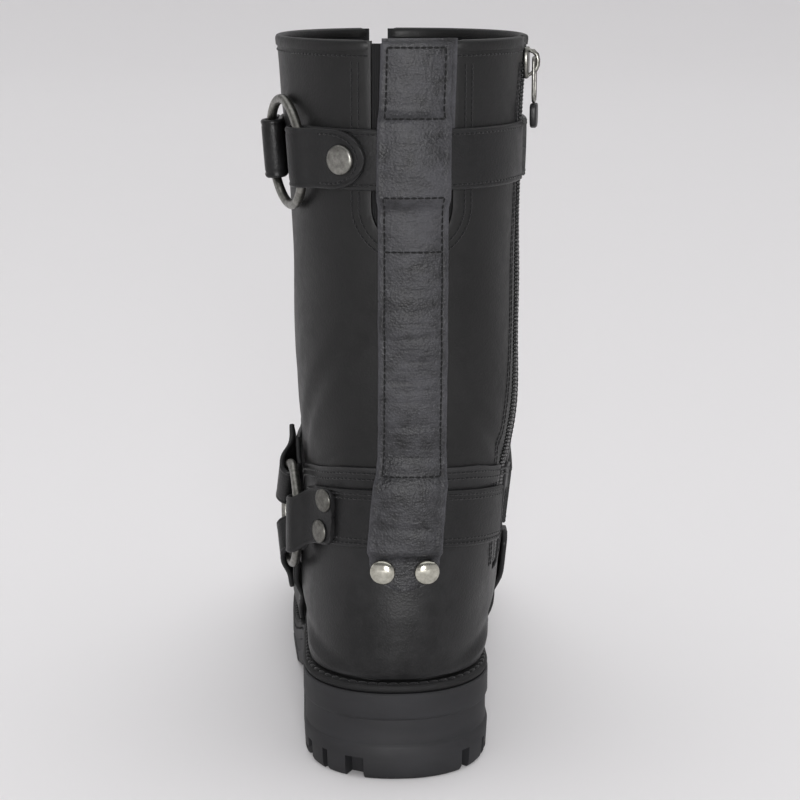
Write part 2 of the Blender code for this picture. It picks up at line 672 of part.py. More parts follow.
def make_zip():
    """Zip tape with its row of teeth as one band in the slot."""
    section = ((-ZIP_HALF, -0.0016), (ZIP_HALF, -0.0016), (ZIP_HALF, -0.0006), (TEETH_HALF, -0.0006),
               (TEETH_HALF, 0.0010), (-TEETH_HALF, 0.0010), (-TEETH_HALF, -0.0006), (-ZIP_HALF, -0.0006))
    loops = []
    for z in np.linspace(0.0838, COLLAR_Z - 0.0030, 16):
        middle = float(look_up(ZIP_LINE, ZIP_COLUMNS, "y", z))
        loop = []
        for u, h in section:
            point, normal = surface_point(angle_at_y(middle + u, z), z)
            loop.append(point + Vector((h / normal.x, 0, 0)))
        loops.append(loop)
    count = len(section)
    points = [p for loop in loops for p in loop]
    faces = []
    for r in range(len(loops) - 1):
        for c in range(count):
            d = (c + 1) % count
            faces.append((r * count + c, r * count + d, (r + 1) * count + d, (r + 1) * count + c))
    for base in (0, (len(loops) - 1) * count):
        faces.append((base, base + 1, base + 2, base + 7))
        faces.append((base + 7, base + 2, base + 3, base + 6))
        faces.append((base + 6, base + 3, base + 4, base + 5))
    return new_object("zip_tape", mesh_from(points, faces, "zip_tape"), ZIP_BLACK)


def edge_angle(z, side, half):
    """Angle of a strap's end beside the zip at a height."""
    point, normal = surface_point(zip_angle(z), z)
    along = Vector((0, 0, 1)).cross(normal).normalized()
    if along.y > 0:
        along = -along
    return angle_of(point + along * (side * (ZIP_HALF + 0.0012 + half)))


def strap_levels(base):
    """Inner and outer level of a strap on the leather."""
    return base + GAP, base + GAP + STRAP_THICKNESS


def make_rear_calf_strap(frame):
    """Calf strap from the zip round the back, through the ring and back under its snap."""
    low, high = strap_levels(0.0)
    loops = []
    start = edge_angle(CALF_STRAP_Z, 1, 0.0)
    stop = angle_of(frame[0] + frame[1] * FOLD_CENTRE)
    for angle in np.arange(start, stop, -5.0):
        loops.append(surface_station(angle, CALF_STRAP_Z, CALF_STRAP_HALF, low, high, rows=3))
    loops.append(surface_station(stop + 1.0, CALF_STRAP_Z, CALF_STRAP_HALF, low, high, rows=3))
    loops += fold_stations(frame, CALF_STRAP_HALF, STRAP_THICKNESS, 3)
    loops += tab_stations(frame, lambda a: CALF_STRAP_Z, CALF_STRAP_HALF, 0.0, -14.0, 3)
    return new_object("calf_strap_rear", loft(loops, "calf_strap_rear"), LEATHER)


def tab_stations(frame, height_at, half, base, end_angle, rows=5):
    """Loops of the folded-back layer, from the ring down onto the strap, with a round end."""
    low = base + 2 * GAP + STRAP_THICKNESS
    high = low + STRAP_THICKNESS
    loops = []
    first = angle_of(frame[0] + frame[1] * 0.0310)
    spots = [(first, half)]
    round_from = end_angle - 12.0
    for angle in np.arange(first + 4.5, round_from, 4.5):
        spots.append((angle, half))
    for k in np.linspace(0, 1, 6):
        reach = math.sin(math.pi / 2 * k)
        spots.append((round_from + 12.0 * reach, half * max(math.cos(math.pi / 2 * k), 0.12)))
    for angle, wide in spots:
        loops.append(surface_station(angle, height_at(angle), wide, high, low, rows=rows))
    return loops


def make_front_calf_strap(frame):
    """Calf strap from the ring's front round the shin to the zip."""
    low, high = strap_levels(0.0)
    turned = (frame[0], -frame[1], frame[2], frame[3])
    loops = []
    tail = angle_of(frame[0] - frame[1] * 0.0480)
    first = angle_of(frame[0] - frame[1] * 0.0310)
    second = low + GAP + STRAP_THICKNESS
    above = second + STRAP_THICKNESS
    for angle in np.linspace(tail, first, 4):
        loops.append(surface_station(angle, CALF_STRAP_Z, CALF_STRAP_HALF, second, above, rows=3))
    folds = fold_stations(turned, CALF_STRAP_HALF, STRAP_THICKNESS, 3)
    half = len(folds[0]) // 2
    loops += [loop[half:][::-1] + loop[:half][::-1] for loop in folds[::-1]]
    stop = angle_of(frame[0] - frame[1] * FOLD_CENTRE)
    end = edge_angle(CALF_STRAP_Z, -1, 0.0) - 360.0
    for angle in np.arange(stop - 1.0, end, -5.0):
        loops.append(surface_station(angle, CALF_STRAP_Z, CALF_STRAP_HALF, high, low, rows=3))
    loops.append(surface_station(end, CALF_STRAP_Z, CALF_STRAP_HALF, high, low, rows=3))
    return new_object("calf_strap_front", loft(loops, "calf_strap_front"), LEATHER)


def make_ring(name, frame):
    """A round ring about the outward direction of its frame."""
    bpy.ops.mesh.primitive_torus_add(major_radius=RING_RADIUS, minor_radius=RING_WIRE,
                                     major_segments=32, minor_segments=8)
    made = bpy.context.object
    mesh = made.data
    bpy.data.objects.remove(made)
    item = new_object(name, mesh, METAL)
    item.location = frame[0]
    item.rotation_euler = frame[2].to_track_quat("Z", "Y").to_euler()
    return item


def ankle_height(angle):
    """Height of the ankle strap's middle line at an angle."""
    return float(look_up(ANKLE_LINE, ANKLE_COLUMNS, "z", angle))


def make_rear_ankle_strap(frame):
    """Ankle strap from the zip round the heel, through the ring and back to its riveted tab."""
    low, high = strap_levels(STEP)
    loops = []
    start = edge_angle(0.1065, 1, 0.0)
    stop = angle_of(frame[0] + frame[1] * FOLD_CENTRE)
    for angle in np.arange(start, stop, -5.0):
        loops.append(surface_station(angle, ankle_height(angle), ANKLE_STRAP_HALF, low, high))
    loops.append(surface_station(stop + 1.0, ankle_height(stop), ANKLE_STRAP_HALF, low, high))
    loops += fold_stations(frame, ANKLE_STRAP_HALF, STRAP_THICKNESS)
    loops += tab_stations(frame, ankle_height, ANKLE_STRAP_HALF, STEP, -27.0)
    return new_object("ankle_strap_rear", loft(loops, "ankle_strap_rear"), LEATHER)


def make_strip():
    """Strip up the back, lifted where it runs over the two straps."""
    loops = []
    ankle_low, ankle_high = ANKLE_STRAP_Z - 0.0145, ANKLE_STRAP_Z + 0.0140
    calf_low, calf_high = CALF_STRAP_Z - 0.0145, CALF_STRAP_Z + 0.0145
    marks = [0.0850, 0.0856, 0.0870, 0.0895, 0.0925, 0.0960, 0.1385, 0.1425, 0.3105]
    for low, high in ((ankle_low - 0.003, ankle_high + 0.006), (calf_low - 0.006, calf_high + 0.006)):
        marks += [low, high]
    for low, high in ((ankle_low, ankle_high), (calf_low, calf_high)):
        marks += [low, high]
    between = [z for z in np.arange(0.1050, 0.3080, 0.0080) if min(abs(z - m) for m in marks) > 0.002]
    heights = sorted(marks + between)
    for z in heights:
        x = float(look_up(STRIP_LINE, STRIP_COLUMNS, "x", z))
        lift = ramp(z, ankle_low - 0.0030, ankle_low) * (1 - ramp(z, ankle_high, ankle_high + 0.006))
        lift += ramp(z, calf_low - 0.006, calf_low) * (1 - ramp(z, calf_high, calf_high + 0.006))
        base = GAP + STEP * (1 - ramp(z, 0.1385, 0.1425)) + lift * (STRAP_THICKNESS + GAP)
        near_end = min(max((0.0985 - z) / 0.0135, 0.0), 1.0)
        half = STRIP_HALF * max(math.sqrt(max(1 - near_end ** 2.5, 0.0)), 0.25)
        inner = []
        outer = []
        for v in np.linspace(-1, 1, 6):
            spot_x = x + half * v
            angle = angle_at_x(spot_x, z)
            inner.append(surface_point(angle, z, base)[0])
            outer.append(surface_point(angle, z, base + STRIP_THICKNESS)[0])
        loops.append(inner + outer[::-1])
    return new_object("back_strip", loft(loops, "back_strip"), LEATHER)


def ramp(value, low, high):
    """Smooth step from 0 at low to 1 at high."""
    t = min(max((value - low) / (high - low), 0.0), 1.0)
    return t * t * (3 - 2 * t)


def angle_at_x(x, z):
    """Angle near the back at which the leather has a given x."""
    low = -40.0
    high = 40.0
    for _ in range(24):
        middle = (low + high) / 2
        if surface_point(middle, z)[0].x < x:
            low = middle
        else:
            high = middle
    return (low + high) / 2


def make_gore():
    """Elastic panel in the cut of the back."""
    half = BACK_CUT_HALF - GAP
    loops = []
    heights = [BACK_CUT_Z - half * math.sin(math.radians(a)) for a in (88, 70, 50, 30, 12, 0)]
    for z in heights + list(np.arange(0.262, 0.3105, 0.016)) + [0.3110]:
        wide = half if z >= BACK_CUT_Z else math.sqrt(max(half ** 2 - (BACK_CUT_Z - z) ** 2, 0.0))
        inner = []
        outer = []
        for v in np.linspace(-1, 1, 7):
            angle = angle_at_x(BACK_CUT_X + wide * v, z)
            inner.append(surface_point(angle, z, -0.0018)[0])
            outer.append(surface_point(angle, z, -0.0004)[0])
        loops.append(inner + outer[::-1])
    return new_object("back_gore", loft(loops, "back_gore"), ELASTIC)


def make_instep_strap(frame):
    """Strap from the ankle ring over the instep to the medial side."""
    low, high = strap_levels(STEP)
    away = (-frame[1] * 0.78 + frame[3] * 0.62).normalized()
    across = (frame[3] * 0.78 + frame[1] * 0.62).normalized()
    turned = (frame[0], away, frame[2], across)
    half = 0.0118
    folds = fold_stations(turned, half, STRAP_THICKNESS)
    count = len(folds[0]) // 2
    loops = [loop[count:][::-1] + loop[:count][::-1] for loop in folds[::-1]]
    second = low + GAP + STRAP_THICKNESS
    tails = []
    for reach in (0.0420, 0.0365, 0.0310):
        spot = frame[0] + away * reach
        tails.append(surface_station(angle_of(spot), spot.z, half, second, second + STRAP_THICKNESS, across))
    loops = tails + loops
    run = []
    for reach in (FOLD_CENTRE + 0.001, 0.026, 0.034):
        spot = frame[0] + away * reach
        run.append((angle_of(spot), spot.z, half, across))
    angles = column(INSTEP_LINE, INSTEP_COLUMNS, "angle")
    last_angle = run[-1][0]
    if last_angle > 0:
        last_angle -= 360.0
    for angle in np.arange(last_angle - 6.0, -263.0, -5.0):
        z = float(smooth(-angles, column(INSTEP_LINE, INSTEP_COLUMNS, "z"), -angle))
        wide = float(smooth(-angles, column(INSTEP_LINE, INSTEP_COLUMNS, "half"), -angle))
        run.append((angle, z, wide, (0, 0, 1)))
    run.append((-263.0, 0.1065, 0.0135, (0, 0, 1)))
    end = edge_angle(0.1065, -1, 0.0) - 360.0
    for k, (angle, z, wide, lean) in enumerate(run):
        if angle < -180.0 and angle < end:
            continue
        blend = min(max((k - 2) / 4.0, 0.0), 1.0)
        direction = Vector(across) * (1 - blend) + Vector((0, 0, 1)) * blend
        loops.append(surface_station(angle, z, wide, high, low, direction))
    return new_object("instep_strap", loft(loops, "instep_strap"), LEATHER)


def make_arch_straps(frame):
    """Strap from the ankle ring down to the welt, and its end on the medial side."""
    low, high = strap_levels(STEP + 3 * GAP)
    away = (-frame[1] * 0.55 - frame[3] * 0.83).normalized()
    across = (frame[3] * 0.55 - frame[1] * 0.83).normalized()
    turned = (frame[0], away, frame[2], across)
    half = 0.0095
    folds = fold_stations(turned, half, STRAP_THICKNESS)
    count = len(folds[0]) // 2
    loops = [loop[count:][::-1] + loop[:count][::-1] for loop in folds[::-1]]
    tails = []
    second = low + GAP + STRAP_THICKNESS
    for reach in (0.0380, 0.0310):
        spot = frame[0] + away * reach
        tails.append(surface_station(angle_of(spot), spot.z, half, second, second + STRAP_THICKNESS, across))
    loops = tails + loops
    for reach in np.arange(FOLD_CENTRE + 0.001, 0.062, 0.0045):
        spot = frame[0] + away * reach
        if spot.z - half * abs(across.z) < 0.0445:
            break
        loops.append(surface_station(angle_of(spot), spot.z, half, high, low, across))
    end_angle = angle_of(frame[0] + away * 0.055)
    loops.append(surface_station(end_angle, 0.0475, half, high, low, -frame[1]))
    lateral = new_object("arch_strap_lateral", loft(loops, "arch_strap_lateral"), LEATHER)
    loops = []
    for z in np.linspace(0.0480, 0.0905, 8):
        angle = 116.0 - 18.0 * ramp(z, 0.045, 0.0905)
        loops.append(surface_station(angle, z, 0.0105, low, high, (0, 1, 0)))
    medial = new_object("arch_strap_medial", loft(loops, "arch_strap_medial"), LEATHER)
    return lateral, medial


def make_insole():
    """Insole inside the upper, on the welt's top."""
    levels = ((lambda y: float(profile("top", y)) + 2 * GAP, 0.0),
              (lambda y: float(profile("top", y)) + 2 * GAP + 0.0022, 0.0))
    loops = []
    for y in sole_rows(HEEL_BACK_Y, TOE_TIP_Y - 0.008, 24):
        lateral = []
        medial = []
        for height_of, inset in levels:
            left, right = outline_row(y, -(WALL + 0.0046))
            lateral.append(Vector((left[0], left[1], height_of(left[1]))))
            medial.append(Vector((right[0], right[1], height_of(right[1]))))
        loops.append(lateral + medial[::-1])
    return new_object("insole", loft(loops, "insole"), LEATHER)


def make_slider():
    """Zip slider near the collar, and its pull loop with a tip that hangs on a pin."""
    point, normal = surface_point(zip_angle(SLIDER_Z), SLIDER_Z)
    side = Vector((0, 0, 1)).cross(normal).normalized()
    up = normal.cross(side).normalized()
    turn = Matrix((side, up, normal)).transposed().to_4x4()
    turn.translation = point
    shape = bmesh.new()
    bmesh.ops.create_cube(shape, size=1.0)
    bmesh.ops.transform(shape, matrix=Matrix.Diagonal((0.0110, 0.0130, 0.0018, 1)), verts=shape.verts)
    bmesh.ops.bevel(shape, geom=shape.edges[:], offset=0.0006, segments=1, affect="EDGES")
    mesh = bpy.data.meshes.new("zip_slider")
    shape.to_mesh(mesh)
    shape.free()
    slider = new_object("zip_slider", mesh, METAL)
    slider.matrix_world = turn @ Matrix.Translation((0, 0, 0.0010 + GAP + 0.0009))
    top = 0.0010 + GAP + 0.0018
    bridge_outline = ((-0.0050, top - 0.0004), (-0.0050, top + 0.0030), (-0.0036, top + 0.0044),
                      (0.0036, top + 0.0044), (0.0050, top + 0.0030), (0.0050, top - 0.0004),
                      (0.0034, top - 0.0004), (0.0034, top + 0.0022), (0.0026, top + 0.0029),
                      (-0.0026, top + 0.0029), (-0.0034, top + 0.0022), (-0.0034, top - 0.0004))
    bridge = cutter("bridge", prism(bridge_outline, -0.0012, 0.0012, "x", "bridge"))
    bridge.matrix_world = turn
    cut(slider, bridge, "UNION")
    pivot = turn @ Vector((0, 0.0021, top + 0.0012))
    return slider, pivot, side, up, normal


def make_pull(pivot, side, up, normal):
    """Pull loop of wire with a black tip, its origin on the pin's axis."""
    turn = Matrix((side, up, normal)).transposed().to_4x4()
    turn.translation = pivot
    width = 0.0042
    wire = 0.0007
    path = [(0.0028, 0.0), (width, -0.0015), (width, -0.0150), (0.0030, -0.0178),
            (-0.0030, -0.0178), (-width, -0.0150), (-width, -0.0015), (-0.0028, 0.0)]
    curve = bpy.data.curves.new("pull_path", "CURVE")
    curve.dimensions = "3D"
    curve.bevel_depth = wire
    curve.bevel_resolution = 2
    spline = curve.splines.new("POLY")
    spline.points.add(len(path) - 1)
    for spot, (u, v) in zip(spline.points, path):
        spot.co = (u, v, 0.0, 1.0)
    spline.use_cyclic_u = True
    holder = bpy.data.objects.new("pull_path", curve)
    CUTTERS.objects.link(holder)
    bpy.context.view_layer.update()
    source = holder.evaluated_get(bpy.context.evaluated_depsgraph_get())
    mesh = bpy.data.meshes.new_from_object(source)
    bpy.data.objects.remove(holder)
    shape = bmesh.new()
    shape.from_mesh(mesh)
    bmesh.ops.remove_doubles(shape, verts=shape.verts, dist=1e-6)
    bmesh.ops.recalc_face_normals(shape, faces=shape.faces)
    shape.to_mesh(mesh)
    shape.free()
    pull = new_object("pull_loop", mesh, METAL)
    pull.matrix_world = turn
    tip_mesh = box_mesh((0.0100, 0.0100, 0.0026), (0, -0.0239, 0), 0, "pull_tip")
    tip = new_object("pull_tip", tip_mesh, ZIP_BLACK)
    step = tip.modifiers.new("edges", "BEVEL")
    step.width = 0.0008
    step.segments = 1
    tip.matrix_world = turn
    return pull, tip


def main():
    """Build every piece of the boot."""
    make_sole()
    make_upper()
    make_overlays()
    make_insole()
    make_gore()
    calf_frame = ring_frame(-56.0, CALF_STRAP_Z, RING_CLEAR)
    ankle_frame = ring_frame(-71.0, 0.1045, ANKLE_RING_CLEAR)
    make_ring("calf_ring", calf_frame)
    make_ring("ankle_ring", ankle_frame)
    make_rear_calf_strap(calf_frame)
    make_front_calf_strap(calf_frame)
    make_rear_ankle_strap(ankle_frame)
    make_instep_strap(ankle_frame)
    make_arch_straps(ankle_frame)
    make_strip()
    tab_level = 3 * GAP + 2 * STRAP_THICKNESS
    point, normal = surface_point(-21.5, CALF_STRAP_Z, tab_level)
    disc("calf_snap", point, normal, 0.0060, 0.0022, METAL, 0.55)
    for k, (angle, z) in enumerate(((-32.5, 0.1205), (-35.0, 0.1060))):
        point, normal = surface_point(angle, z, tab_level + STEP)
        disc("tab_rivet_%d" % (k + 1), point, normal, 0.0050, 0.0012, METAL, 0.5)
    for k, x in enumerate((-0.0057, 0.0111)):
        point, normal = surface_point(angle_at_x(x, 0.0932), 0.0932, 2 * GAP + STEP + STRIP_THICKNESS)
        disc("strip_rivet_%d" % (k + 1), point, normal, 0.0054, 0.0030, BRIGHT, 0.95)
    make_zip()
    slider, pivot, side, up, normal = make_slider()
    make_pull(pivot, side, up, normal)
    for item in list(CUTTERS.objects):
        bpy.data.objects.remove(item)


for old in list(bpy.data.objects):
    bpy.data.objects.remove(old)
PARTS = bpy.data.collections.new("harness_boot")
CUTTERS = bpy.data.collections.new("cutters")
bpy.context.scene.collection.children.link(PARTS)
bpy.context.scene.collection.children.link(CUTTERS)
CAD_PLACES = [0.0, 1.0, 2.0, 3.0, 4.0, 5.0, 6.0, 7.0, 7.5, 8.0, 8.5, 9.0, 10.0, 11.0, 12.0]
CAD_PLACES += [13.0, 14.0, 15.0, 16.0, 17.0, 17.5, 18.0, 18.5, 19.0, 19.5, 20.0, 20.5]
CAD_PLACES += [float(k) for k in range(21, len(SECTIONS))]
SKIN_PLACES = list(np.arange(0.0, 12.01, 0.125)) + list(np.arange(13.0, len(SECTIONS) - 0.99, 0.25))
skin_grid = boot_grid(SKIN_PLACES, 40)
skin_count = skin_grid.shape[1]
skin_faces = [(r * skin_count + c, r * skin_count + (c + 1) % skin_count,
               (r + 1) * skin_count + (c + 1) % skin_count, (r + 1) * skin_count + c)
              for r in range(len(SKIN_PLACES) - 1) for c in range(skin_count)]
SKIN = BVHTree.FromPolygons([Vector(p) for p in skin_grid.reshape(-1, 3)], skin_faces)
main()
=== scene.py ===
"""Looks of the left harness boot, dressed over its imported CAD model."""
from __future__ import annotations

import json
import logging
import math
from dataclasses import dataclass, field
from enum import Enum
from typing import Callable, Sequence

import bmesh
import bpy
import numpy as np
from mathutils import Matrix, Vector
from mathutils.bvhtree import BVHTree


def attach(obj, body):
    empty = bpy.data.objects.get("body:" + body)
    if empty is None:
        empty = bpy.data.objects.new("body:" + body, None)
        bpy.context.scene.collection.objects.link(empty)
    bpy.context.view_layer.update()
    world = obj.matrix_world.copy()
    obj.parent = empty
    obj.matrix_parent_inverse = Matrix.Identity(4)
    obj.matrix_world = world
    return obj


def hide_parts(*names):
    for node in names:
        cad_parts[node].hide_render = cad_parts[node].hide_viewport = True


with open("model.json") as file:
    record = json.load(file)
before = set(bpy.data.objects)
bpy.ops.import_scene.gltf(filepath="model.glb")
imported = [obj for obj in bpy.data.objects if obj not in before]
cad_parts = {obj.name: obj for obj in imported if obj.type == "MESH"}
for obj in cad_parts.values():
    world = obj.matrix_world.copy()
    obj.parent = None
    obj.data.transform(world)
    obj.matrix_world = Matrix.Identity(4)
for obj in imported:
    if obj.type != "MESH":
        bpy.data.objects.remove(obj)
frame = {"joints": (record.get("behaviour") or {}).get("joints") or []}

LOG = logging.getLogger("boot")
BODY = "boot"
GAP = 0.0003
STEP = 0.0013
WALL = 0.0022
STRAP = 0.0022
STRIP = 0.0020
COLLAR_Z = 0.312
SOLE_LEDGE = 0.0050
HEEL_BACK_Y = -0.0350
TOE_TIP_Y = 0.2615
TOE_START_Y = 0.185
WELT = 0.0035
AXIS = Vector((0.0045, 0.0280, 0.0))
CALF_Z = 0.2655
ANKLE_END_Z = 0.1065
ZIP_HALF = 0.0065
GORE_X, GORE_Z, GORE_HALF = 0.0055, 0.2465, 0.0165
CUT_TOP_Z = 0.340
FOLDED_END = 0.0310
PLAN_POWER = 2.2
LAST_LEG, FIRST_SOLE = 12.0, 13.0
SEAM_STEP = 0.0001
UP = Vector((0, 0, 1))

Loop = list[Vector]


@dataclass(frozen=True)
class Table:
    """A short table with named columns, read with a smooth line through its rows."""

    columns: tuple[str, ...]
    rows: tuple[tuple[float, ...], ...]

    def column(self, name: str) -> np.ndarray:
        """One named column as an array."""
        return np.array([row[self.columns.index(name)] for row in self.rows], float)

    def at(self, name: str, where: float | np.ndarray, by: str | None = None) -> np.ndarray:
        """A column at a value of another.

        Args:
            name: the column to read.
            where: the value or values looked up.
            by: the column that is looked up, the first one if it isn't given.

        Returns:
            The smooth value or values.
        """
        return smooth(self.column(by or self.columns[0]), self.column(name), where)


def smooth(xs: np.ndarray, ys: np.ndarray, at: float | np.ndarray) -> np.ndarray:
    """Monotone cubic through points.

    Args:
        xs: rising places.
        ys: values at the places.
        at: where the value is wanted.

    Returns:
        The values at those places.
    """
    at = np.clip(np.asarray(at, float), xs[0], xs[-1])
    step = np.diff(xs)
    slope = np.diff(ys) / step
    tangent = np.zeros(len(xs))
    tangent[0] = slope[0]
    tangent[-1] = slope[-1]
    for i in range(1, len(xs) - 1):
        if slope[i - 1] * slope[i] > 0:
            a = 2 * step[i] + step[i - 1]
            b = step[i] + 2 * step[i - 1]
            tangent[i] = (a + b) / (a / slope[i - 1] + b / slope[i])
    i = np.clip(np.searchsorted(xs, at) - 1, 0, len(xs) - 2)
    h = step[i]
    t = (at - xs[i]) / h
    first = (1 + 2 * t) * (1 - t) ** 2 * ys[i] + t * (1 - t) ** 2 * h * tangent[i]
    last = t * t * (3 - 2 * t) * ys[i + 1] + t * t * (t - 1) * h * tangent[i + 1]
    return first + last


def ramp(value: float, low: float, high: float) -> float:
    """Smooth step from 0 at low to 1 at high."""
    t = min(max((value - low) / (high - low), 0.0), 1.0)
    return t * t * (3 - 2 * t)


PLAN = Table(("y", "lateral", "medial"), (
    (0.000, -0.0358, 0.0358), (0.030, -0.0362, 0.0352), (0.060, -0.0372, 0.0328),
    (0.085, -0.0392, 0.0335), (0.110, -0.0415, 0.0390), (0.135, -0.0430, 0.0460),
    (0.160, -0.0435, 0.0490), (0.185, -0.0425, 0.0478)))
PROFILE = Table(("y", "top", "under"), (
    (-0.045, 0.0430, 0.0000), (0.030, 0.0430, 0.0000), (0.050, 0.0400, 0.0200),
    (0.070, 0.0340, 0.0130), (0.090, 0.0268, 0.0045), (0.110, 0.0205, 0.0000),
    (0.130, 0.0172, 0.0000), (0.150, 0.0165, 0.0000), (0.180, 0.0172, 0.0008),
    (0.210, 0.0195, 0.0030), (0.240, 0.0240, 0.0072), (0.270, 0.0290, 0.0115)))
SECTIONS = Table(("back_y", "back_z", "front_y", "front_z", "back_x", "front_x", "half", "widest",
                  "back_power", "front_power", "on_sole"), (
    (-0.0425, 0.3300, 0.0925, 0.3300, 0.0035, 0.0035, 0.0538, 0.50, 2.2, 2.2, 0.0),
    (-0.0420, 0.3120, 0.0920, 0.3120, 0.0035, 0.0035, 0.0530, 0.50, 2.2, 2.2, 0.0),
    (-0.0418, 0.2900, 0.0917, 0.2900, 0.0033, 0.0035, 0.0513, 0.50, 2.2, 2.2, 0.0),
    (-0.0415, 0.2650, 0.0912, 0.2650, 0.0042, 0.0045, 0.0498, 0.50, 2.2, 2.2, 0.0),
    (-0.0412, 0.2350, 0.0905, 0.2350, 0.0049, 0.0050, 0.0489, 0.50, 2.2, 2.2, 0.0),
    (-0.0405, 0.2050, 0.0903, 0.2050, 0.0054, 0.0055, 0.0487, 0.50, 2.2, 2.2, 0.0),
    (-0.0392, 0.1780, 0.0908, 0.1790, 0.0056, 0.0058, 0.0488, 0.50, 2.2, 2.2, 0.0),
    (-0.0374, 0.1560, 0.0930, 0.1600, 0.0060, 0.0066, 0.0480, 0.49, 2.2, 2.2, 0.0),
    (-0.0358, 0.1340, 0.0980, 0.1435, 0.0055, 0.0070, 0.0462, 0.48, 2.2, 2.2, 0.0),
    (-0.0352, 0.1120, 0.1060, 0.1290, 0.0045, 0.0070, 0.0446, 0.47, 2.2, 2.2, 0.0),
    (-0.0362, 0.0900, 0.1165, 0.1165, 0.0028, 0.0068, 0.0438, 0.46, 2.2, 2.1, 0.0),
    (-0.0378, 0.0700, 0.1280, 0.1068, 0.0012, 0.0065, 0.0434, 0.45, 2.2, 2.1, 0.0),
    (-0.0376, 0.0550, 0.1390, 0.1000, 0.0004, 0.0062, 0.0430, 0.43, 2.2, 2.1, 0.0),
    (-0.0345, 0.0433, 0.1480, 0.0955, 0.0000, 0.0060, 0.0040, 0.40, 2.2, 2.1, 1.0),
    (-0.0325, 0.0433, 0.1530, 0.0930, 0.0000, 0.0060, 0.0040, 0.40, 2.2, 2.1, 1.0),
    (-0.0290, 0.0433, 0.1575, 0.0908, 0.0000, 0.0060, 0.0042, 0.39, 2.2, 2.1, 1.0),
    (-0.0200, 0.0433, 0.1630, 0.0883, 0.0000, 0.0060, 0.0045, 0.38, 2.2, 2.1, 1.0),
    (-0.0020, 0.0433, 0.1710, 0.0852, 0.0000, 0.0058, 0.0050, 0.36, 2.2, 2.1, 1.0),
    (0.0250, 0.0433, 0.1830, 0.0808, -0.0005, 0.0055, 0.0050, 0.34, 2.2, 2.1, 1.0),
    (0.0560, 0.0380, 0.1950, 0.0768, -0.0015, 0.0050, 0.0044, 0.32, 2.2, 2.1, 1.0),
    (0.0860, 0.0280, 0.2065, 0.0735, -0.0015, 0.0045, 0.0036, 0.31, 2.2, 2.1, 1.0),
    (0.1140, 0.0190, 0.2170, 0.0710, -0.0005, 0.0040, 0.0030, 0.30, 2.2, 2.1, 1.0),
    (0.1400, 0.0170, 0.2265, 0.0683, 0.0015, 0.0038, 0.0026, 0.30, 2.2, 2.1, 1.0),
    (0.1660, 0.0170, 0.2350, 0.0645, 0.0027, 0.0035, 0.0022, 0.30, 2.2, 2.1, 1.0),
    (0.1900, 0.0180, 0.2430, 0.0598, 0.0027, 0.0032, 0.0018, 0.32, 2.2, 2.1, 1.0),
    (0.2120, 0.0200, 0.2500, 0.0540, 0.0027, 0.0030, 0.0014, 0.34, 2.2, 2.1, 1.0),
    (0.2310, 0.0225, 0.2555, 0.0475, 0.0028, 0.0030, 0.0010, 0.36, 2.2, 2.1, 1.0),
    (0.2440, 0.0250, 0.2585, 0.0415, 0.0030, 0.0030, 0.0006, 0.40, 2.2, 2.2, 1.0),
    (0.2525, 0.0265, 0.2600, 0.0360, 0.0030, 0.0030, 0.0003, 0.45, 2.2, 2.2, 1.0),
    (0.2572, 0.0270, 0.2607, 0.0330, 0.0030, 0.0030, 0.0002, 0.47, 2.2, 2.2, 1.0),
    (0.2600, 0.0274, 0.2611, 0.0306, 0.0030, 0.0030, 0.0001, 0.50, 2.2, 2.2, 1.0),
    (0.2611, 0.0276, 0.2613, 0.0287, 0.0030, 0.0030, 0.0000, 0.50, 2.2, 2.2, 1.0)))
ZIP_LINE = Table(("z", "y"), ((0.083, 0.0030), (0.100, 0.0000), (0.137, -0.0030), (0.200, 0.0020), (0.312, 0.0055)))
STRIP_LINE = Table(("z", "x"), ((0.085, 0.0026), (0.100, 0.0028), (0.120, 0.0041), (0.140, 0.0057),
                                (0.200, 0.0059), (0.260, 0.0058), (0.311, 0.0070)))
ANKLE_LINE = Table(("angle", "z"), ((-80.0, 0.1030), (-60.0, 0.1065), (-42.0, 0.1115), (0.0, 0.1160),
                                    (45.0, 0.1110), (85.0, 0.1065)))
INSTEP_LINE = Table(("turn", "z", "half"), (
    (118.0, 0.1230, 0.0125), (135.0, 0.1330, 0.0120), (158.0, 0.1450, 0.0112), (180.0, 0.1480, 0.0110),
    (205.0, 0.1440, 0.0112), (228.0, 0.1310, 0.0120), (250.0, 0.1130, 0.0130), (263.0, 0.1065, 0.0135)))
COUNTER_EDGE = ((-0.080, 0.0450), (-0.080, 0.1375), (-0.036, 0.1375), (-0.026, 0.1358), (-0.015, 0.1330),
                (-0.002, 0.1308), (0.010, 0.1280), (0.021, 0.1238), (0.030, 0.1180), (0.039, 0.1098), (0.046, 0.1000),
                (0.052, 0.0880), (0.056, 0.0750), (0.060, 0.0200), (0.030, 0.0200), (0.026, 0.0450))
VAMP_EDGE = ((0.064, 0.0100), (0.0615, 0.0600), (0.061, 0.0750), (0.0635, 0.0880), (0.068, 0.1000),
             (0.0745, 0.1095), (0.082, 0.1180), (0.0865, 0.1260), (0.090, 0.1340), (0.0945, 0.1400),
             (0.120, 0.1600), (0.300, 0.1600), (0.300, 0.0100))
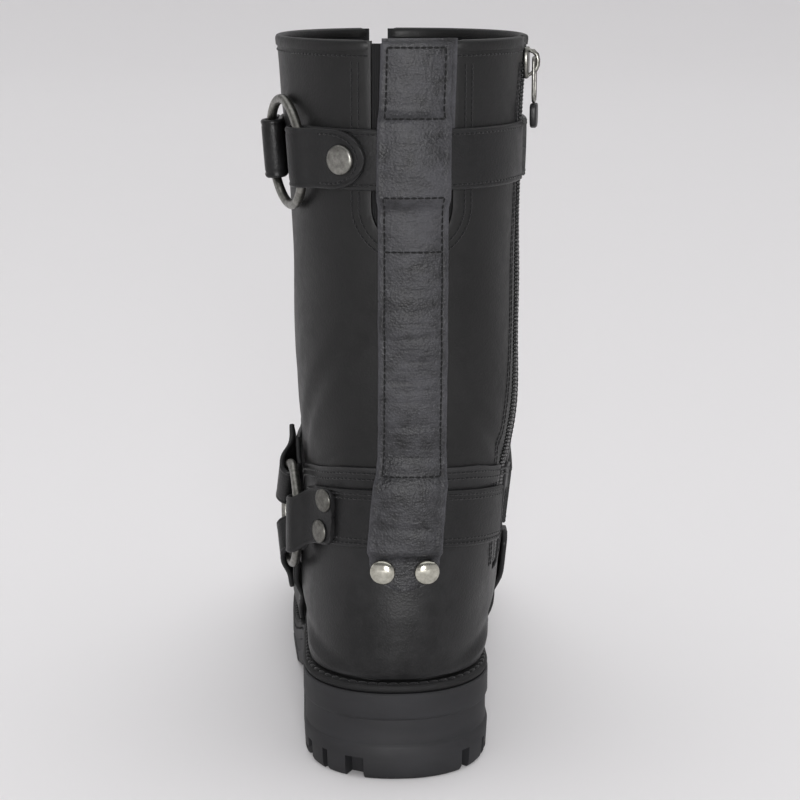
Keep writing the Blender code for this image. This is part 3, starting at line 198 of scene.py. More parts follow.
LEG_CREASES = Table(("angle", "z", "wide", "tall", "slope", "depth"), (
    (20.0, 0.1420, 26.0, 0.0022, -0.00005, 0.00045),
    (-24.0, 0.1440, 22.0, 0.0026, 0.00006, 0.00035),
    (34.0, 0.1500, 30.0, 0.0045, -0.00010, 0.00060),
    (-50.0, 0.1560, 34.0, 0.0060, 0.00012, 0.00080),
    (92.0, 0.1500, 26.0, 0.0046, 0.00008, 0.00075),
    (100.0, 0.1640, 30.0, 0.0056, 0.00009, 0.00065),
    (-95.0, 0.1540, 26.0, 0.0046, -0.00008, 0.00075),
    (-104.0, 0.1690, 30.0, 0.0056, -0.00009, 0.00060),
    (178.0, 0.1680, 52.0, 0.0042, 0.0, 0.00130),
    (182.0, 0.1810, 40.0, 0.0048, 0.00004, 0.00090),
    (176.0, 0.1980, 30.0, 0.0060, -0.00004, 0.00060),
    (-30.0, 0.2050, 26.0, 0.0200, 0.0, 0.00060),
    (48.0, 0.2200, 24.0, 0.0240, 0.0, 0.00050),
    (-70.0, 0.2330, 24.0, 0.0160, 0.0001, 0.00050)))
VAMP_CREASES = Table(("y", "tall", "slope", "depth"), (
    (0.1000, 0.0040, 0.06, 0.0007), (0.1480, 0.0035, 0.10, 0.0007), (0.1600, 0.0030, 0.02, 0.0010),
    (0.1710, 0.0034, -0.08, 0.0008)))


class Shine(Enum):
    """How a metal finish has aged."""

    WORN = "worn"
    ANTIQUE = "antique"
    BRIGHT = "bright"
    DARK = "dark"


class NodeBoard:
    """A material's node tree with short calls to add and join nodes."""

    def __init__(self, name: str) -> None:
        """Start a material.

        Args:
            name: the material's name.
        """
        self.material = bpy.data.materials.new(name)
        self.material.use_nodes = True
        self.tree = self.material.node_tree
        self.shader = self.tree.nodes["Principled BSDF"]
        self.coordinates = self.tree.nodes.new("ShaderNodeTexCoord").outputs["Object"]

    def add(self, kind: str, **values: object) -> bpy.types.Node:
        """Add a node.

        Args:
            kind: the node's type.
            **values: its properties, or with a name that is an input, the input's value or link.

        Returns:
            The new node.
        """
        node = self.tree.nodes.new(kind)
        for key, value in values.items():
            if hasattr(node, key):
                setattr(node, key, value)
                continue
            socket = node.inputs[key.replace("_", " ")]
            if isinstance(value, bpy.types.NodeSocket):
                self.tree.links.new(value, socket)
            else:
                socket.default_value = value
        return node

    def stretched(self, scale: tuple[float, float, float]) -> bpy.types.NodeSocket:
        """Object coordinates stretched along the axes."""
        return self.add("ShaderNodeMapping", Vector=self.coordinates, Scale=scale).outputs[0]

    def noise(self, scale: float, detail: float = 3.0, rough: float = 0.5,
              where: bpy.types.NodeSocket | None = None) -> bpy.types.NodeSocket:
        """Noise over the object."""
        return self.add("ShaderNodeTexNoise", Vector=where or self.coordinates, Scale=scale, Detail=detail,
                        Roughness=rough).outputs["Fac"]

    def cells(self, scale: float) -> bpy.types.NodeSocket:
        """Distance to the nearest cell's middle."""
        return self.add("ShaderNodeTexVoronoi", Vector=self.coordinates, Scale=scale).outputs["Distance"]

    def spread(self, value: bpy.types.NodeSocket, low: float, high: float, to_low: float, to_high: float
               ) -> bpy.types.NodeSocket:
        """A value moved from one range to another, clamped.

        Args:
            value: the value.
            low: start of its range.
            high: end of its range.
            to_low: what low becomes.
            to_high: what high becomes.

        Returns:
            The moved value.
        """
        node = self.add("ShaderNodeMapRange")
        self.tree.links.new(value, node.inputs[0])
        for i, number in enumerate((low, high, to_low, to_high)):
            node.inputs[i + 1].default_value = number
        return node.outputs[0]

    def sum(self, *parts: tuple[bpy.types.NodeSocket, float]) -> bpy.types.NodeSocket:
        """Weighted sum of values.

        Args:
            *parts: values with their weights.

        Returns:
            The sum.
        """
        total = None
        for value, weight in parts:
            node = self.add("ShaderNodeMath", operation="MULTIPLY_ADD")
            self.tree.links.new(value, node.inputs[0])
            node.inputs[1].default_value = weight
            if total is None:
                node.inputs[2].default_value = 0.0
            else:
                self.tree.links.new(total, node.inputs[2])
            total = node.outputs[0]
        return total

    def tint(self, amount: bpy.types.NodeSocket, first: bpy.types.NodeSocket | Sequence[float],
             second: bpy.types.NodeSocket | Sequence[float]) -> bpy.types.NodeSocket:
        """A mix of two colours.

        Args:
            amount: 0 for the first, 1 for the second.
            first: a colour or a socket with one.
            second: the other colour.

        Returns:
            The mixed colour.
        """
        node = self.add("ShaderNodeMix", data_type="RGBA")
        self.tree.links.new(amount, node.inputs[0])
        for socket, colour in ((node.inputs[6], first), (node.inputs[7], second)):
            if isinstance(colour, bpy.types.NodeSocket):
                self.tree.links.new(colour, socket)
            else:
                socket.default_value = (*colour, 1.0)
        return node.outputs[2]

    def attribute(self, name: str) -> bpy.types.NodeSocket:
        """A number that the mesh carries."""
        return self.add("ShaderNodeAttribute", attribute_name=name).outputs["Fac"]

    def set(self, **values: object) -> None:
        """Set or link the shader's own sockets by name.

        Args:
            **values: numbers, colours or sockets, under the names of the shader's inputs.
        """
        for key, value in values.items():
            socket = self.shader.inputs[key.replace("_", " ")]
            if isinstance(value, bpy.types.NodeSocket):
                self.tree.links.new(value, socket)
            else:
                socket.default_value = value

    def bump(self, height: bpy.types.NodeSocket, distance: float) -> None:
        """Relief of the surface.

        Args:
            height: a value from 0 to 1.
            distance: the height of 1, in metres.
        """
        node = self.add("ShaderNodeBump", Height=height, Distance=distance, Strength=1.0)
        self.tree.links.new(node.outputs[0], self.shader.inputs["Normal"])


@dataclass(frozen=True)
class LeatherFinish:
    """Black leather: pebbled grain, cloudy tone, pores, dry creases, streaky tone that is partly painted satin
    highlight, and edges lightened by rubbing wear and by a painted highlight.
    """

    name: str
    base: tuple[float, float, float]
    cloud: tuple[float, float, float]
    rough: float = 0.52
    grain: float = 0.00010
    cloud_scale: float = 20.0
    mottle_scale: float = 170.0
    fine_scale: float = 2300.0
    grain_scale: float = 950.0
    wrinkle_stretch: tuple[float, float, float] = (90.0, 90.0, 620.0)
    # Dryness; it also strengthens the streaky tone that partly paints a satin highlight.
    dry_and_sheen: float = 0.0
    coat: float = 0.10
    specular: float = 0.36

    def build(self) -> bpy.types.Material:
        """Build the material.

        Returns:
            The leather's material.
        """
        board = NodeBoard(self.name)
        cloud = board.noise(self.cloud_scale, 4.0, 0.55)
        mottle = board.noise(self.mottle_scale, 5.0, 0.68)
        fine = board.noise(self.fine_scale, 2.0, 0.6)
        pebble = board.cells(self.grain_scale)
        wrinkles = board.noise(1.0, 4.0, 0.62, board.stretched(self.wrinkle_stretch))
        # On dry leather the stretched wrinkle streaks and the stronger contrast are partly real mottling and partly
        # painted satin highlight.
        tone = board.sum((cloud, 0.50 - 0.2 * self.dry_and_sheen), (mottle, 0.35), (fine, 0.15), (wrinkles, 0.2 * self.dry_and_sheen))
        reach = 0.10 - 0.05 * self.dry_and_sheen
        tone = board.spread(tone, 0.50 - reach, 0.50 + reach, 0.0, 1.0)
        colour = board.tint(tone, self.base, self.cloud)
        # Edges are lightened, partly as rubbing wear and partly as a painted highlight along the rounded edges.
        lighter = tuple(min(1.0, c * 1.9 + 0.004) for c in self.cloud)
        colour = board.tint(board.sum((board.attribute("edge"), 0.5)), colour, lighter)
        rough = board.spread(board.sum((mottle, 0.5), (cloud, 0.5)), 0.35, 0.65,
                             self.rough - 0.11 - 0.10 * self.dry_and_sheen, self.rough + 0.09 + 0.10 * self.dry_and_sheen)
        board.set(Base_Color=colour, Roughness=rough, Specular_IOR_Level=self.specular, Coat_Weight=self.coat,
                  Coat_Roughness=0.38)
        relief = board.sum((pebble, 0.40), (fine, 0.22), (mottle, 0.45), (wrinkles, 0.15 + 1.1 * self.dry_and_sheen))
        board.bump(relief, self.grain * (1.6 + 3.6 * self.dry_and_sheen))
        return board.material


@dataclass(frozen=True)
class RubberFinish:
    """Matt moulded rubber with a faint dusty bloom."""

    name: str
    base: tuple[float, float, float]
    dust: tuple[float, float, float]
    rough: float = 0.66

    def build(self) -> bpy.types.Material:
        """Build the material.

        Returns:
            The rubber's material.
        """
        board = NodeBoard(self.name)
        cloud = board.noise(40.0, 4.0, 0.6)
        speckle = board.noise(1500.0, 3.0, 0.6)
        streak = board.noise(1.0, 3.0, 0.6, board.stretched((30.0, 30.0, 110.0)))
        dusty = board.spread(board.sum((cloud, 0.5), (streak, 0.5)), 0.35, 0.7, 0.0, 1.0)
        colour = board.tint(dusty, self.base, self.dust)
        board.set(Base_Color=colour, Roughness=board.spread(cloud, 0.3, 0.7, self.rough - 0.08, self.rough + 0.08),
                  Specular_IOR_Level=0.4)
        board.bump(board.sum((speckle, 0.6), (cloud, 0.4)), 0.00008)
        return board.material


@dataclass(frozen=True)
class MetalFinish:
    """Nickel plate, either aged and dull with dark in its low places or bright."""

    name: str
    shine: Shine

    def build(self) -> bpy.types.Material:
        """Build the material.

        Returns:
            The metal's material.
        """
        board = NodeBoard(self.name)
        patina = board.noise(420.0, 5.0, 0.65)
        scratch = board.noise(1.0, 3.0, 0.5, board.stretched((900.0, 900.0, 3200.0)))
        aged = self.shine is not Shine.BRIGHT
        light = {Shine.ANTIQUE: (0.270, 0.266, 0.246), Shine.WORN: (0.190, 0.187, 0.172),
                 Shine.BRIGHT: (0.58, 0.57, 0.50), Shine.DARK: (0.12, 0.12, 0.12)}
        dark = {Shine.ANTIQUE: (0.125, 0.123, 0.112), Shine.WORN: (0.080, 0.078, 0.070),
                Shine.BRIGHT: (0.36, 0.35, 0.30), Shine.DARK: (0.04, 0.04, 0.04)}
        colour = board.tint(board.spread(patina, 0.34, 0.66, 0.0, 1.0), dark[self.shine], light[self.shine])
        low = 0.30 if aged else 0.09
        rough = board.spread(board.sum((patina, 0.6), (scratch, 0.4)), 0.35, 0.65, low + 0.12, low)
        board.set(Base_Color=colour, Metallic=1.0, Roughness=rough)
        board.bump(board.sum((patina, 0.7), (scratch, 0.3)), 0.00005 if aged else 0.000008)
        return board.material


@dataclass(frozen=True)
class WovenFinish:
    """Woven tape, elastic or thread, with its ribs as relief."""

    name: str
    base: tuple[float, float, float]
    rib: float
    along: tuple[float, float, float]
    height: float = 0.00012

    def build(self) -> bpy.types.Material:
        """Build the material.

        Returns:
            The woven material.
        """
        board = NodeBoard(self.name)
        across = board.add("ShaderNodeTexWave", Vector=board.stretched(self.along), Scale=self.rib, Distortion=0.4,
                           Detail=1.0).outputs["Fac"]
        fuzz = board.noise(3000.0, 2.0, 0.7)
        lighter = tuple(c * 2.2 + 0.004 for c in self.base)
        board.set(Base_Color=board.tint(board.sum((across, 0.6), (fuzz, 0.3)), self.base, lighter), Roughness=0.86,
                  Specular_IOR_Level=0.25, Sheen_Weight=0.15)
        board.bump(board.sum((across, 0.8), (fuzz, 0.3)), self.height)
        return board.material


class Finishes:
    """Every finish of the boot, built once."""

    def __init__(self) -> None:
        """Build the materials."""
        self.shaft = LeatherFinish("shaft_leather", (0.0032, 0.0032, 0.0032), (0.0076, 0.0076, 0.0077),
                                   specular=0.25).build()
        # The counter's lighter colours partly paint the soft highlight on the heel's back.
        self.counter = LeatherFinish("counter_leather", (0.0046, 0.0046, 0.0048), (0.0150, 0.0150, 0.0156), rough=0.46,
                                     coat=0.03, specular=0.28).build()
        self.strap = LeatherFinish("strap_leather", (0.0034, 0.0034, 0.0036), (0.0090, 0.0090, 0.0094), rough=0.44,
                                   grain=0.00013, coat=0.05, specular=0.26).build()
        # The strip's dry, streaky tone is partly painted satin highlight.
        self.strip = LeatherFinish("strip_leather", (0.0058, 0.0058, 0.0066), (0.0385, 0.0385, 0.0432), rough=0.46,
                                   grain=0.00015, dry_and_sheen=0.5, coat=0.05, specular=0.31).build()
        self.lining = LeatherFinish("lining_leather", (0.0070, 0.0071, 0.0076), (0.0150, 0.0153, 0.0165), rough=0.75,
                                    grain=0.00008, coat=0.0, specular=0.15).build()
        self.rubber = RubberFinish("sole_rubber", (0.0085, 0.0085, 0.0095), (0.0190, 0.0190, 0.0216)).build()
        # The welt is near black: partly its own black rubber, partly painted shade of the gap under the upper's edge.
        self.welt = RubberFinish("welt_rubber", (0.0014, 0.0014, 0.0016), (0.0030, 0.0030, 0.0034), 0.7).build()
        self.antique = MetalFinish("antique_nickel", Shine.ANTIQUE).build()
        self.bright = MetalFinish("bright_nickel", Shine.BRIGHT).build()
        self.worn = MetalFinish("worn_nickel", Shine.WORN).build()
        self.elastic = WovenFinish("ribbed_elastic", (0.0022, 0.0022, 0.0025), 330.0, (1.0, 0.2, 0.0)).build()
        self.tape = WovenFinish("zip_tape_weave", (0.0035, 0.0035, 0.0040), 420.0, (0.0, 0.0, 1.0)).build()
        self.thread = WovenFinish("black_thread", (0.0020, 0.0020, 0.0024), 900.0, (0.5, 0.5, 1.0), 0.00006).build()
        self.teeth = MetalFinish("zip_teeth_metal", Shine.DARK).build()
        self.moulded = RubberFinish("moulded_tip", (0.0050, 0.0050, 0.0056), (0.0080, 0.0080, 0.0088), 0.42).build()


def plan_half(y: float | np.ndarray) -> np.ndarray:
    """Half width of the upper's bottom edge.

    Args:
        y: places along the foot.

    Returns:
        Half the width at each place.
    """
    y = np.asarray(y, float)
    inside = np.clip(y, 0, TOE_START_Y)
    half = (PLAN.at("medial", inside) - PLAN.at("lateral", inside)) / 2
    heel = np.clip(-y / -HEEL_BACK_Y, 0, 1)
    toe = np.clip((y - TOE_START_Y) / (TOE_TIP_Y - TOE_START_Y), 0, 1)
    half = half * np.clip(1 - heel ** PLAN_POWER, 0, 1) ** (1 / PLAN_POWER)
    return half * np.clip(1 - toe ** PLAN_POWER, 0, 1) ** (1 / PLAN_POWER)


def plan_middle(y: float) -> float:
    """Middle of the upper's bottom edge at y."""
    y = np.clip(y, 0, TOE_START_Y)
    return float((PLAN.at("lateral", y) + PLAN.at("medial", y)) / 2)


def polygon_depth(points: np.ndarray, outline: Sequence[tuple[float, float]]) -> np.ndarray:
    """How deep points lie inside an outline.

    Args:
        points: an array of pairs.
        outline: the corners of a closed outline.

    Returns:
        Distances to the outline, negative outside it.
    """
    corners = np.array(outline, float)
    least = np.full(len(points), 1e9)
    inside = np.zeros(len(points), bool)
    for a, b in zip(corners, np.roll(corners, -1, axis=0)):
        way = b - a
        t = np.clip(((points - a) @ way) / max(way @ way, 1e-12), 0, 1)
        least = np.minimum(least, np.linalg.norm(points - (a + t[:, None] * way), axis=1))
        if abs(b[1] - a[1]) > 1e-12:
            crosses = (points[:, 1] < b[1]) != (points[:, 1] < a[1])
            at = a[0] + (points[:, 1] - a[1]) / (b[1] - a[1]) * (b[0] - a[0])
            inside ^= crosses & (points[:, 0] < at)
    return np.where(inside, least, -least)


@dataclass
class Skin:
    """The boot's outside as a fine grid, with its creases."""

    side_points: int = 74
    leg_step: float = 0.075
    foot_step: float = 0.105
    places: list[float] = field(default_factory=list)

    def __post_init__(self) -> None:
        """Work out the grid, its normals and the tree for rays."""
        leg = list(np.arange(1.0, LAST_LEG + 0.0001, self.leg_step))
        if leg[-1] < LAST_LEG:
            leg.append(LAST_LEG)
        turn = [12.12, 12.25, 12.4, 12.55, 12.7, 12.85]
        self.places = leg + turn + list(np.arange(FIRST_SOLE, len(SECTIONS.rows) - 1.0, self.foot_step))
        self.places.append(len(SECTIONS.rows) - 1.0)
        self.on_sole = np.array(self.places) > FIRST_SOLE - 0.01
        grid = self.sections(self.places, self.side_points)
        normal = self.normals(grid)
        self.grid = grid + normal * self.creases(grid)[..., None]
        self.normal = self.normals(self.grid)
        rows, count = self.grid.shape[:2]
        self.flat = [Vector(p) for p in self.grid.reshape(-1, 3)]
        self.flat_normal = self.normal.reshape(-1, 3)
        self.triangles = []
        for r in range(rows - 1):
            for c in range(count):
                here, beside = r * count + c, r * count + (c + 1) % count
                self.triangles.append((here, beside, beside + count))
                self.triangles.append((here, beside + count, here + count))
        self.tree = BVHTree.FromPolygons(self.flat, self.triangles)

    @staticmethod
    def spread(sole: float, widest: float, back: float, front: float, count: int) -> np.ndarray:
        """Places of one side's points along a section.

        Args:
            sole: 1 for a section that starts on the sole.
            widest: the place of its greatest width.
            back: power of its back curve.
            front: power of its front curve.
            count: points on the side.

        Returns:
            Places from 0 at the back to 1 at the front.
        """
        turn = np.pi * np.arange(count + 1) / count
        near = widest * (1 - np.clip(np.cos(turn), 0, 1) ** (2 / back))
        far = widest + (1 - widest) * np.clip(-np.cos(turn), 0, 1) ** (2 / front)
        leg = np.where(turn < np.pi / 2, near, far)
        step = np.clip(np.pi * (np.arange(count + 1) - 1) / (count - 1), 0, np.pi)
        low = widest * step / (np.pi / 2)
        high = widest + (1 - widest) * np.clip(-np.cos(step), 0, 1) ** (2 / front)
        return leg * (1 - sole) + np.where(step < np.pi / 2, low, high) * sole

    def sections(self, places: Sequence[float], count: int) -> np.ndarray:
        """Closed loops of the boot's outside.

        Args:
            places: rows of the table of sections, with steps between them.
            count: points on each side.

        Returns:
            An array of rows, points and coordinates.
        """
        index = np.arange(len(SECTIONS.rows), dtype=float)
        rows = []
        for place in places:
            if LAST_LEG < place < FIRST_SOLE:
                rows.append(self.heel_row(place - LAST_LEG, count))
                continue
            v = {name: float(smooth(index, SECTIONS.column(name), place)) for name in SECTIONS.columns}
            sole = v["on_sole"]
            t = self.spread(sole, v["widest"], v["back_power"], v["front_power"], count)
            back_z = v["back_z"] * (1 - sole) + sole * (PROFILE.at("top", v["back_y"]) + 2 * GAP)
            y = v["back_y"] + t * (v["front_y"] - v["back_y"])
            z = back_z + t * (v["front_z"] - back_z)
            near = np.clip((v["widest"] - t) / v["widest"], 0, 1)
            far = np.clip((t - v["widest"]) / (1 - v["widest"]), 0, 1)
            close_back = np.clip(1 - near ** v["back_power"], 0, 1) ** (1 / v["back_power"])
            close_front = np.clip(1 - far ** v["front_power"], 0, 1) ** (1 / v["front_power"])
            leg = v["half"] * close_back * close_front
            here = float(plan_half(v["back_y"] + v["widest"] * (v["front_y"] - v["back_y"])))
            swell = np.sin(np.pi / 2 * np.clip(t / v["widest"], 0, 1))
            foot = plan_half(y) / max(here, 1e-6) * (here + v["half"] * swell) * close_front
            half = leg * (1 - sole) + foot * sole
            middle = v["back_x"] + t * (v["front_x"] - v["back_x"])
            lateral = np.stack([middle - half, y, z], 1)
            medial = np.stack([middle + half, y, z], 1)
            start = np.array([[v["back_x"], v["back_y"], float(back_z)]])
            rows.append(np.vstack([start, lateral[1:], medial[1:-1][::-1]]))
        return np.array(rows)

    def heel_row(self, share: float, count: int) -> np.ndarray:
        """A loop low round the heel, on a smooth bend from the leg's last section to the sole's first.

        Args:
            share: how far down the bend it is.
            count: points on each side.

        Returns:
            The loop.
        """
        above, first, last = self.sections([LAST_LEG - 1.0, LAST_LEG, FIRST_SOLE], count)
        chord = last - first
        length = np.linalg.norm(chord, axis=1, keepdims=True)
        down = (first - above) / np.maximum(np.linalg.norm(first - above, axis=1, keepdims=True), 1e-9) * length
        t = share
        return ((1 + 2 * t) * (1 - t) ** 2 * first + t * (1 - t) ** 2 * down
                + t * t * (3 - 2 * t) * last + t * t * (t - 1) * chord)

    def normals(self, grid: np.ndarray) -> np.ndarray:
        """Outward normals of the grid, from its sides alone along the sole's edge.

        Args:
            grid: rows, points and coordinates.

        Returns:
            A unit normal for each point.
        """
        along = np.gradient(grid, axis=0)
        round_it = np.roll(grid, -1, axis=1) - np.roll(grid, 1, axis=1)
        last = grid.shape[1] - 1
        round_it[self.on_sole, 1] = grid[self.on_sole, 2] - grid[self.on_sole, 1]
        round_it[self.on_sole, last] = grid[self.on_sole, last] - grid[self.on_sole, last - 1]
        normal = np.cross(round_it, along)
        normal /= np.maximum(np.linalg.norm(normal, axis=2, keepdims=True), 1e-12)
        normal[self.on_sole, 0] = (0, 0, -1)
        return normal

    def creases(self, grid: np.ndarray) -> np.ndarray:
        """Height of the creases over the grid.

        Args:
            grid: rows, points and coordinates.

        Returns:
            Metres outward at each point.
        """
        x, y, z = grid[..., 0], grid[..., 1], grid[..., 2]
        angle = np.degrees(np.arctan2(x - AXIS.x, -(y - AXIS.y)))
        height = np.zeros(x.shape)
        for at, level, wide, tall, slope, depth in LEG_CREASES.rows:
            turn = (angle - at + 180.0) % 360.0 - 180.0
            across = (z - level - slope * turn * 10) / tall
            window = np.exp(-(turn / wide) ** 2)
            height += depth * window * (0.55 * np.exp(-((across - 1.9) / 1.1) ** 2) - np.exp(-across ** 2)
                                        + 0.55 * np.exp(-((across + 1.9) / 1.1) ** 2)) * (z > 0.125)
        for at, tall, slope, depth in VAMP_CREASES.rows:
            across = (y - at - slope * np.abs(x)) / tall
            above = np.clip((z - PROFILE.at("top", y) - 0.014) / 0.02, 0, 1)
            height += depth * above * (0.6 * np.exp(-((across - 2.0) / 1.2) ** 2) - np.exp(-across ** 2)
                                       + 0.6 * np.exp(-((across + 2.0) / 1.2) ** 2)) * (z < 0.13)
        soft = 0.00022 * (np.sin(41 * x + 63 * z + 1.3) * np.sin(57 * z - 33 * y + 0.4) + np.sin(90 * z + 48 * y))
        return height + soft * np.clip((z - 0.05) / 0.03, 0, 1) * np.clip((0.300 - z) / 0.02, 0, 1)

    def hit(self, angle: float, z: float) -> tuple[Vector, Vector]:
        """Point on the leather and its smooth normal.

        Args:
            angle: degrees round the leg, 0 at the back and 90 at the medial side.
            z: height.

        Returns:
            The point and the outward normal.
        """
        turn = math.radians(angle)
        way = Vector((math.sin(turn), -math.cos(turn), 0))
        start = Vector((AXIS.x, AXIS.y, min(z, COLLAR_Z - 1e-5)))
        spot, _, index, _ = self.tree.ray_cast(start, way)
        a, b, c = self.triangles[index]
        pa, pb, pc = self.flat[a], self.flat[b], self.flat[c]
        area = (pb - pa).cross(pc - pa).length
        wa = (pb - spot).cross(pc - spot).length / area
        wb = (pc - spot).cross(pa - spot).length / area
        wc = 1.0 - wa - wb
        normal = Vector(self.flat_normal[a] * wa + self.flat_normal[b] * wb + self.flat_normal[c] * wc).normalized()
        if normal.dot(way) < 0:
            normal = -normal
        if z > COLLAR_Z:
            spot = spot + UP * (z - COLLAR_Z)
        return spot, normal

    @staticmethod
    def angle_of(point: Vector) -> float:
        """Angle of a point round the leg's axis."""
        return math.degrees(math.atan2(point[0] - AXIS.x, -(point[1] - AXIS.y)))

    def onto(self, point: Vector, level: float) -> tuple[Vector, Vector]:
        """A point moved level with the leather, and the normal there."""
        spot, normal = self.hit(self.angle_of(point), point[2])
        return spot + normal * level, normal

    def solve(self, want: Callable[[Vector], float], z: float, low: float, high: float) -> float:
        """Angle at which a rising measure of the leather's point is zero.

        Args:
            want: the measure.
            z: height of the point.
            low: angle at which it is negative.
            high: angle at which it is positive.

        Returns:
            The angle in degrees.
        """
        for _ in range(22):
            middle = (low + high) / 2
            if want(self.hit(middle, z)[0]) < 0:
                low = middle
            else:
                high = middle
        return (low + high) / 2

    def angle_at_x(self, x: float, z: float) -> float:
        """Angle near the back at which the leather has a given x."""
        return self.solve(lambda p: p.x - x, z, -45.0, 45.0)

    def angle_at_y(self, y: float, z: float) -> float:
        """Angle on the medial side at which the leather has a given y."""
        return self.solve(lambda p: p.y - y, z, 40.0, 110.0)

    def at_x(self, x: float, z: float) -> tuple[Vector, Vector]:
        """Point near the back with a given x, and its normal."""
        return self.hit(self.angle_at_x(x, z), z)

    def at_zip(self, shift: float, z: float) -> tuple[Vector, Vector]:
        """Point a distance in front of the zip's middle, and its normal."""
        return self.hit(self.angle_at_y(zip_y(z) + shift, z), z)


def zip_y(z: float) -> float:
    """Middle of the zip at a height."""
    return float(ZIP_LINE.at("y", z))


def zip_outline(half: float, low: float) -> list[tuple[float, float]]:
    """Side outline of the zip's slot.

    Args:
        half: half its width.
        low: height of its lower end.

    Returns:
        Pairs of y and z.
    """
    heights = [low] + list(np.linspace(low + 0.004, COLLAR_Z, 28)) + [CUT_TOP_Z]
    left = [(zip_y(z) - half, z) for z in heights]
    right = [(zip_y(z) + half, z) for z in heights]
    return left + right[::-1]


def back_outline(half: float) -> list[tuple[float, float]]:
    """Outline of the round-ended cut at the back, from behind."""
    arc = [(GORE_X - half * math.cos(a), GORE_Z - half * math.sin(a)) for a in np.linspace(0, math.pi, 33)]
    return [(GORE_X - half, CUT_TOP_Z)] + arc + [(GORE_X + half, CUT_TOP_Z)]


NOTCH = [(-0.0095, CUT_TOP_Z), (-0.0095, 0.2965), (-0.0088, 0.2943), (-0.0072, 0.2925), (-0.0050, 0.2918),
         (-0.0028, 0.2925), (-0.0012, 0.2943), (-0.0005, 0.2965), (-0.0005, CUT_TOP_Z)]


def link(name: str, mesh: bpy.types.Mesh, *materials: bpy.types.Material) -> bpy.types.Object:
    """Link a mesh as a piece at the origin.

    Args:
        name: the piece's name.
        mesh: its mesh.
        *materials: its finishes, where the mesh has none.

    Returns:
        The piece.
    """
    item = bpy.data.objects.new(name, mesh)
    bpy.context.scene.collection.objects.link(item)
    if not mesh.materials:
        for material in materials:
            mesh.materials.append(material)
    return item


def bake(item: bpy.types.Object) -> bpy.types.Object:
    """Apply an object's modifiers by taking its evaluated mesh.

    Args:
        item: the object.

    Returns:
        The same object.
    """
    graph = bpy.context.evaluated_depsgraph_get()
    graph.update()
    mesh = bpy.data.meshes.new_from_object(item.evaluated_get(graph), preserve_all_data_layers=True, depsgraph=graph)
    item.modifiers.clear()
    item.data = mesh
    return item


def shade(item: bpy.types.Object, angle: float = 40.0) -> bpy.types.Object:
    """Smooth shading that keeps sharp edges.

    Args:
        item: the piece.
        angle: degrees above which an edge stays sharp.

    Returns:
        The same piece.
    """
    mesh = item.data
    shape = bmesh.new()
    shape.from_mesh(mesh)
    limit = math.radians(angle)
    for face in shape.faces:
        face.smooth = True
    for edge in shape.edges:
        edge.smooth = not (len(edge.link_faces) == 2 and edge.calc_face_angle(0.0) > limit)
    shape.to_mesh(mesh)
    shape.free()
    return item


def settle(item: bpy.types.Object, node: str, body: str = BODY, stands: bool = True) -> bpy.types.Object:
    """Put a piece on a body, and in place of a CAD node.

    Args:
        item: the piece.
        node: the CAD node.
        body: the body that it rides on.
        stands: whether it stands for the node, or only adds to the piece that does.

    Returns:
        The same piece.
    """
    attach(item, body)
    if stands:
        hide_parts(node)
    LOG.info("%s %s %s, %d faces", item.name, "stands for" if stands else "adds to", node, len(item.data.polygons))
    return item


def piece(mesh: bpy.types.Mesh, material: bpy.types.Material, angle: float, node: str, body: str = BODY,
          stands: bool = True) -> bpy.types.Object:
    """Make a piece of a mesh, under the mesh's name, and settle it.

    Args:
        mesh: the mesh.
        material: its finish.
        angle: degrees above which an edge stays sharp.
        node: the CAD node.
        body: the body that it rides on.
        stands: whether it stands for the node.

    Returns:
        The piece.
    """
    return settle(shade(link(mesh.name, mesh, material), angle), node, body, stands)


def mesh_of(name: str, points: Sequence[Vector], faces: Sequence[Sequence[int]],
            edge: Sequence[float] | None = None) -> bpy.types.Mesh:
    """A closed mesh from points and faces, turned outward.

    Args:
        name: the mesh's name.
        points: its points.
        faces: its faces.
        edge: how much each point is lightened, for rubbing wear and a painted edge highlight.

    Returns:
        The mesh.
    """
    shape = bmesh.new()
    layer = shape.verts.layers.float.new("edge")
    verts = []
    for i, p in enumerate(points):
        vert = shape.verts.new(p)
        vert[layer] = float(edge[i]) if edge is not None else 0.0
        verts.append(vert)
    for face in faces:
        shape.faces.new([verts[i] for i in face])
    bmesh.ops.recalc_face_normals(shape, faces=shape.faces)
    if shape.calc_volume(signed=True) < 0:
        bmesh.ops.reverse_faces(shape, faces=shape.faces)
    mesh = bpy.data.meshes.new(name)
    shape.to_mesh(mesh)
    shape.free()
    return mesh


def loft(name: str, loops: Sequence[Loop], closed: bool = False, edge: Sequence[float] | None = None
         ) -> bpy.types.Mesh:
    """A solid through equal closed loops.

    Args:
        name: the mesh's name.
        loops: closed loops of equal length.
        closed: whether the last loop joins the first.
        edge: how much each point of a loop is lightened, for rubbing wear and a painted edge highlight.

    Returns:
        The mesh.
    """
    count = len(loops[0])
    points = [p for loop in loops for p in loop]
    faces = []
    for r in range(len(loops) if closed else len(loops) - 1):
        here, above = r * count, ((r + 1) % len(loops)) * count
        for c in range(count):
            d = (c + 1) % count
            faces.append((here + c, here + d, above + d, above + c))
    wear_and_highlight = list(edge) * len(loops) if edge is not None else [0.0] * len(points)
    if not closed:
        for start in (0, (len(loops) - 1) * count):
            points.append(sum((points[start + i] for i in range(count)), Vector()) / count)
            wear_and_highlight.append(0.0)
            faces += [(start + c, start + (c + 1) % count, len(points) - 1) for c in range(count)]
    return mesh_of(name, points, faces, wear_and_highlight)


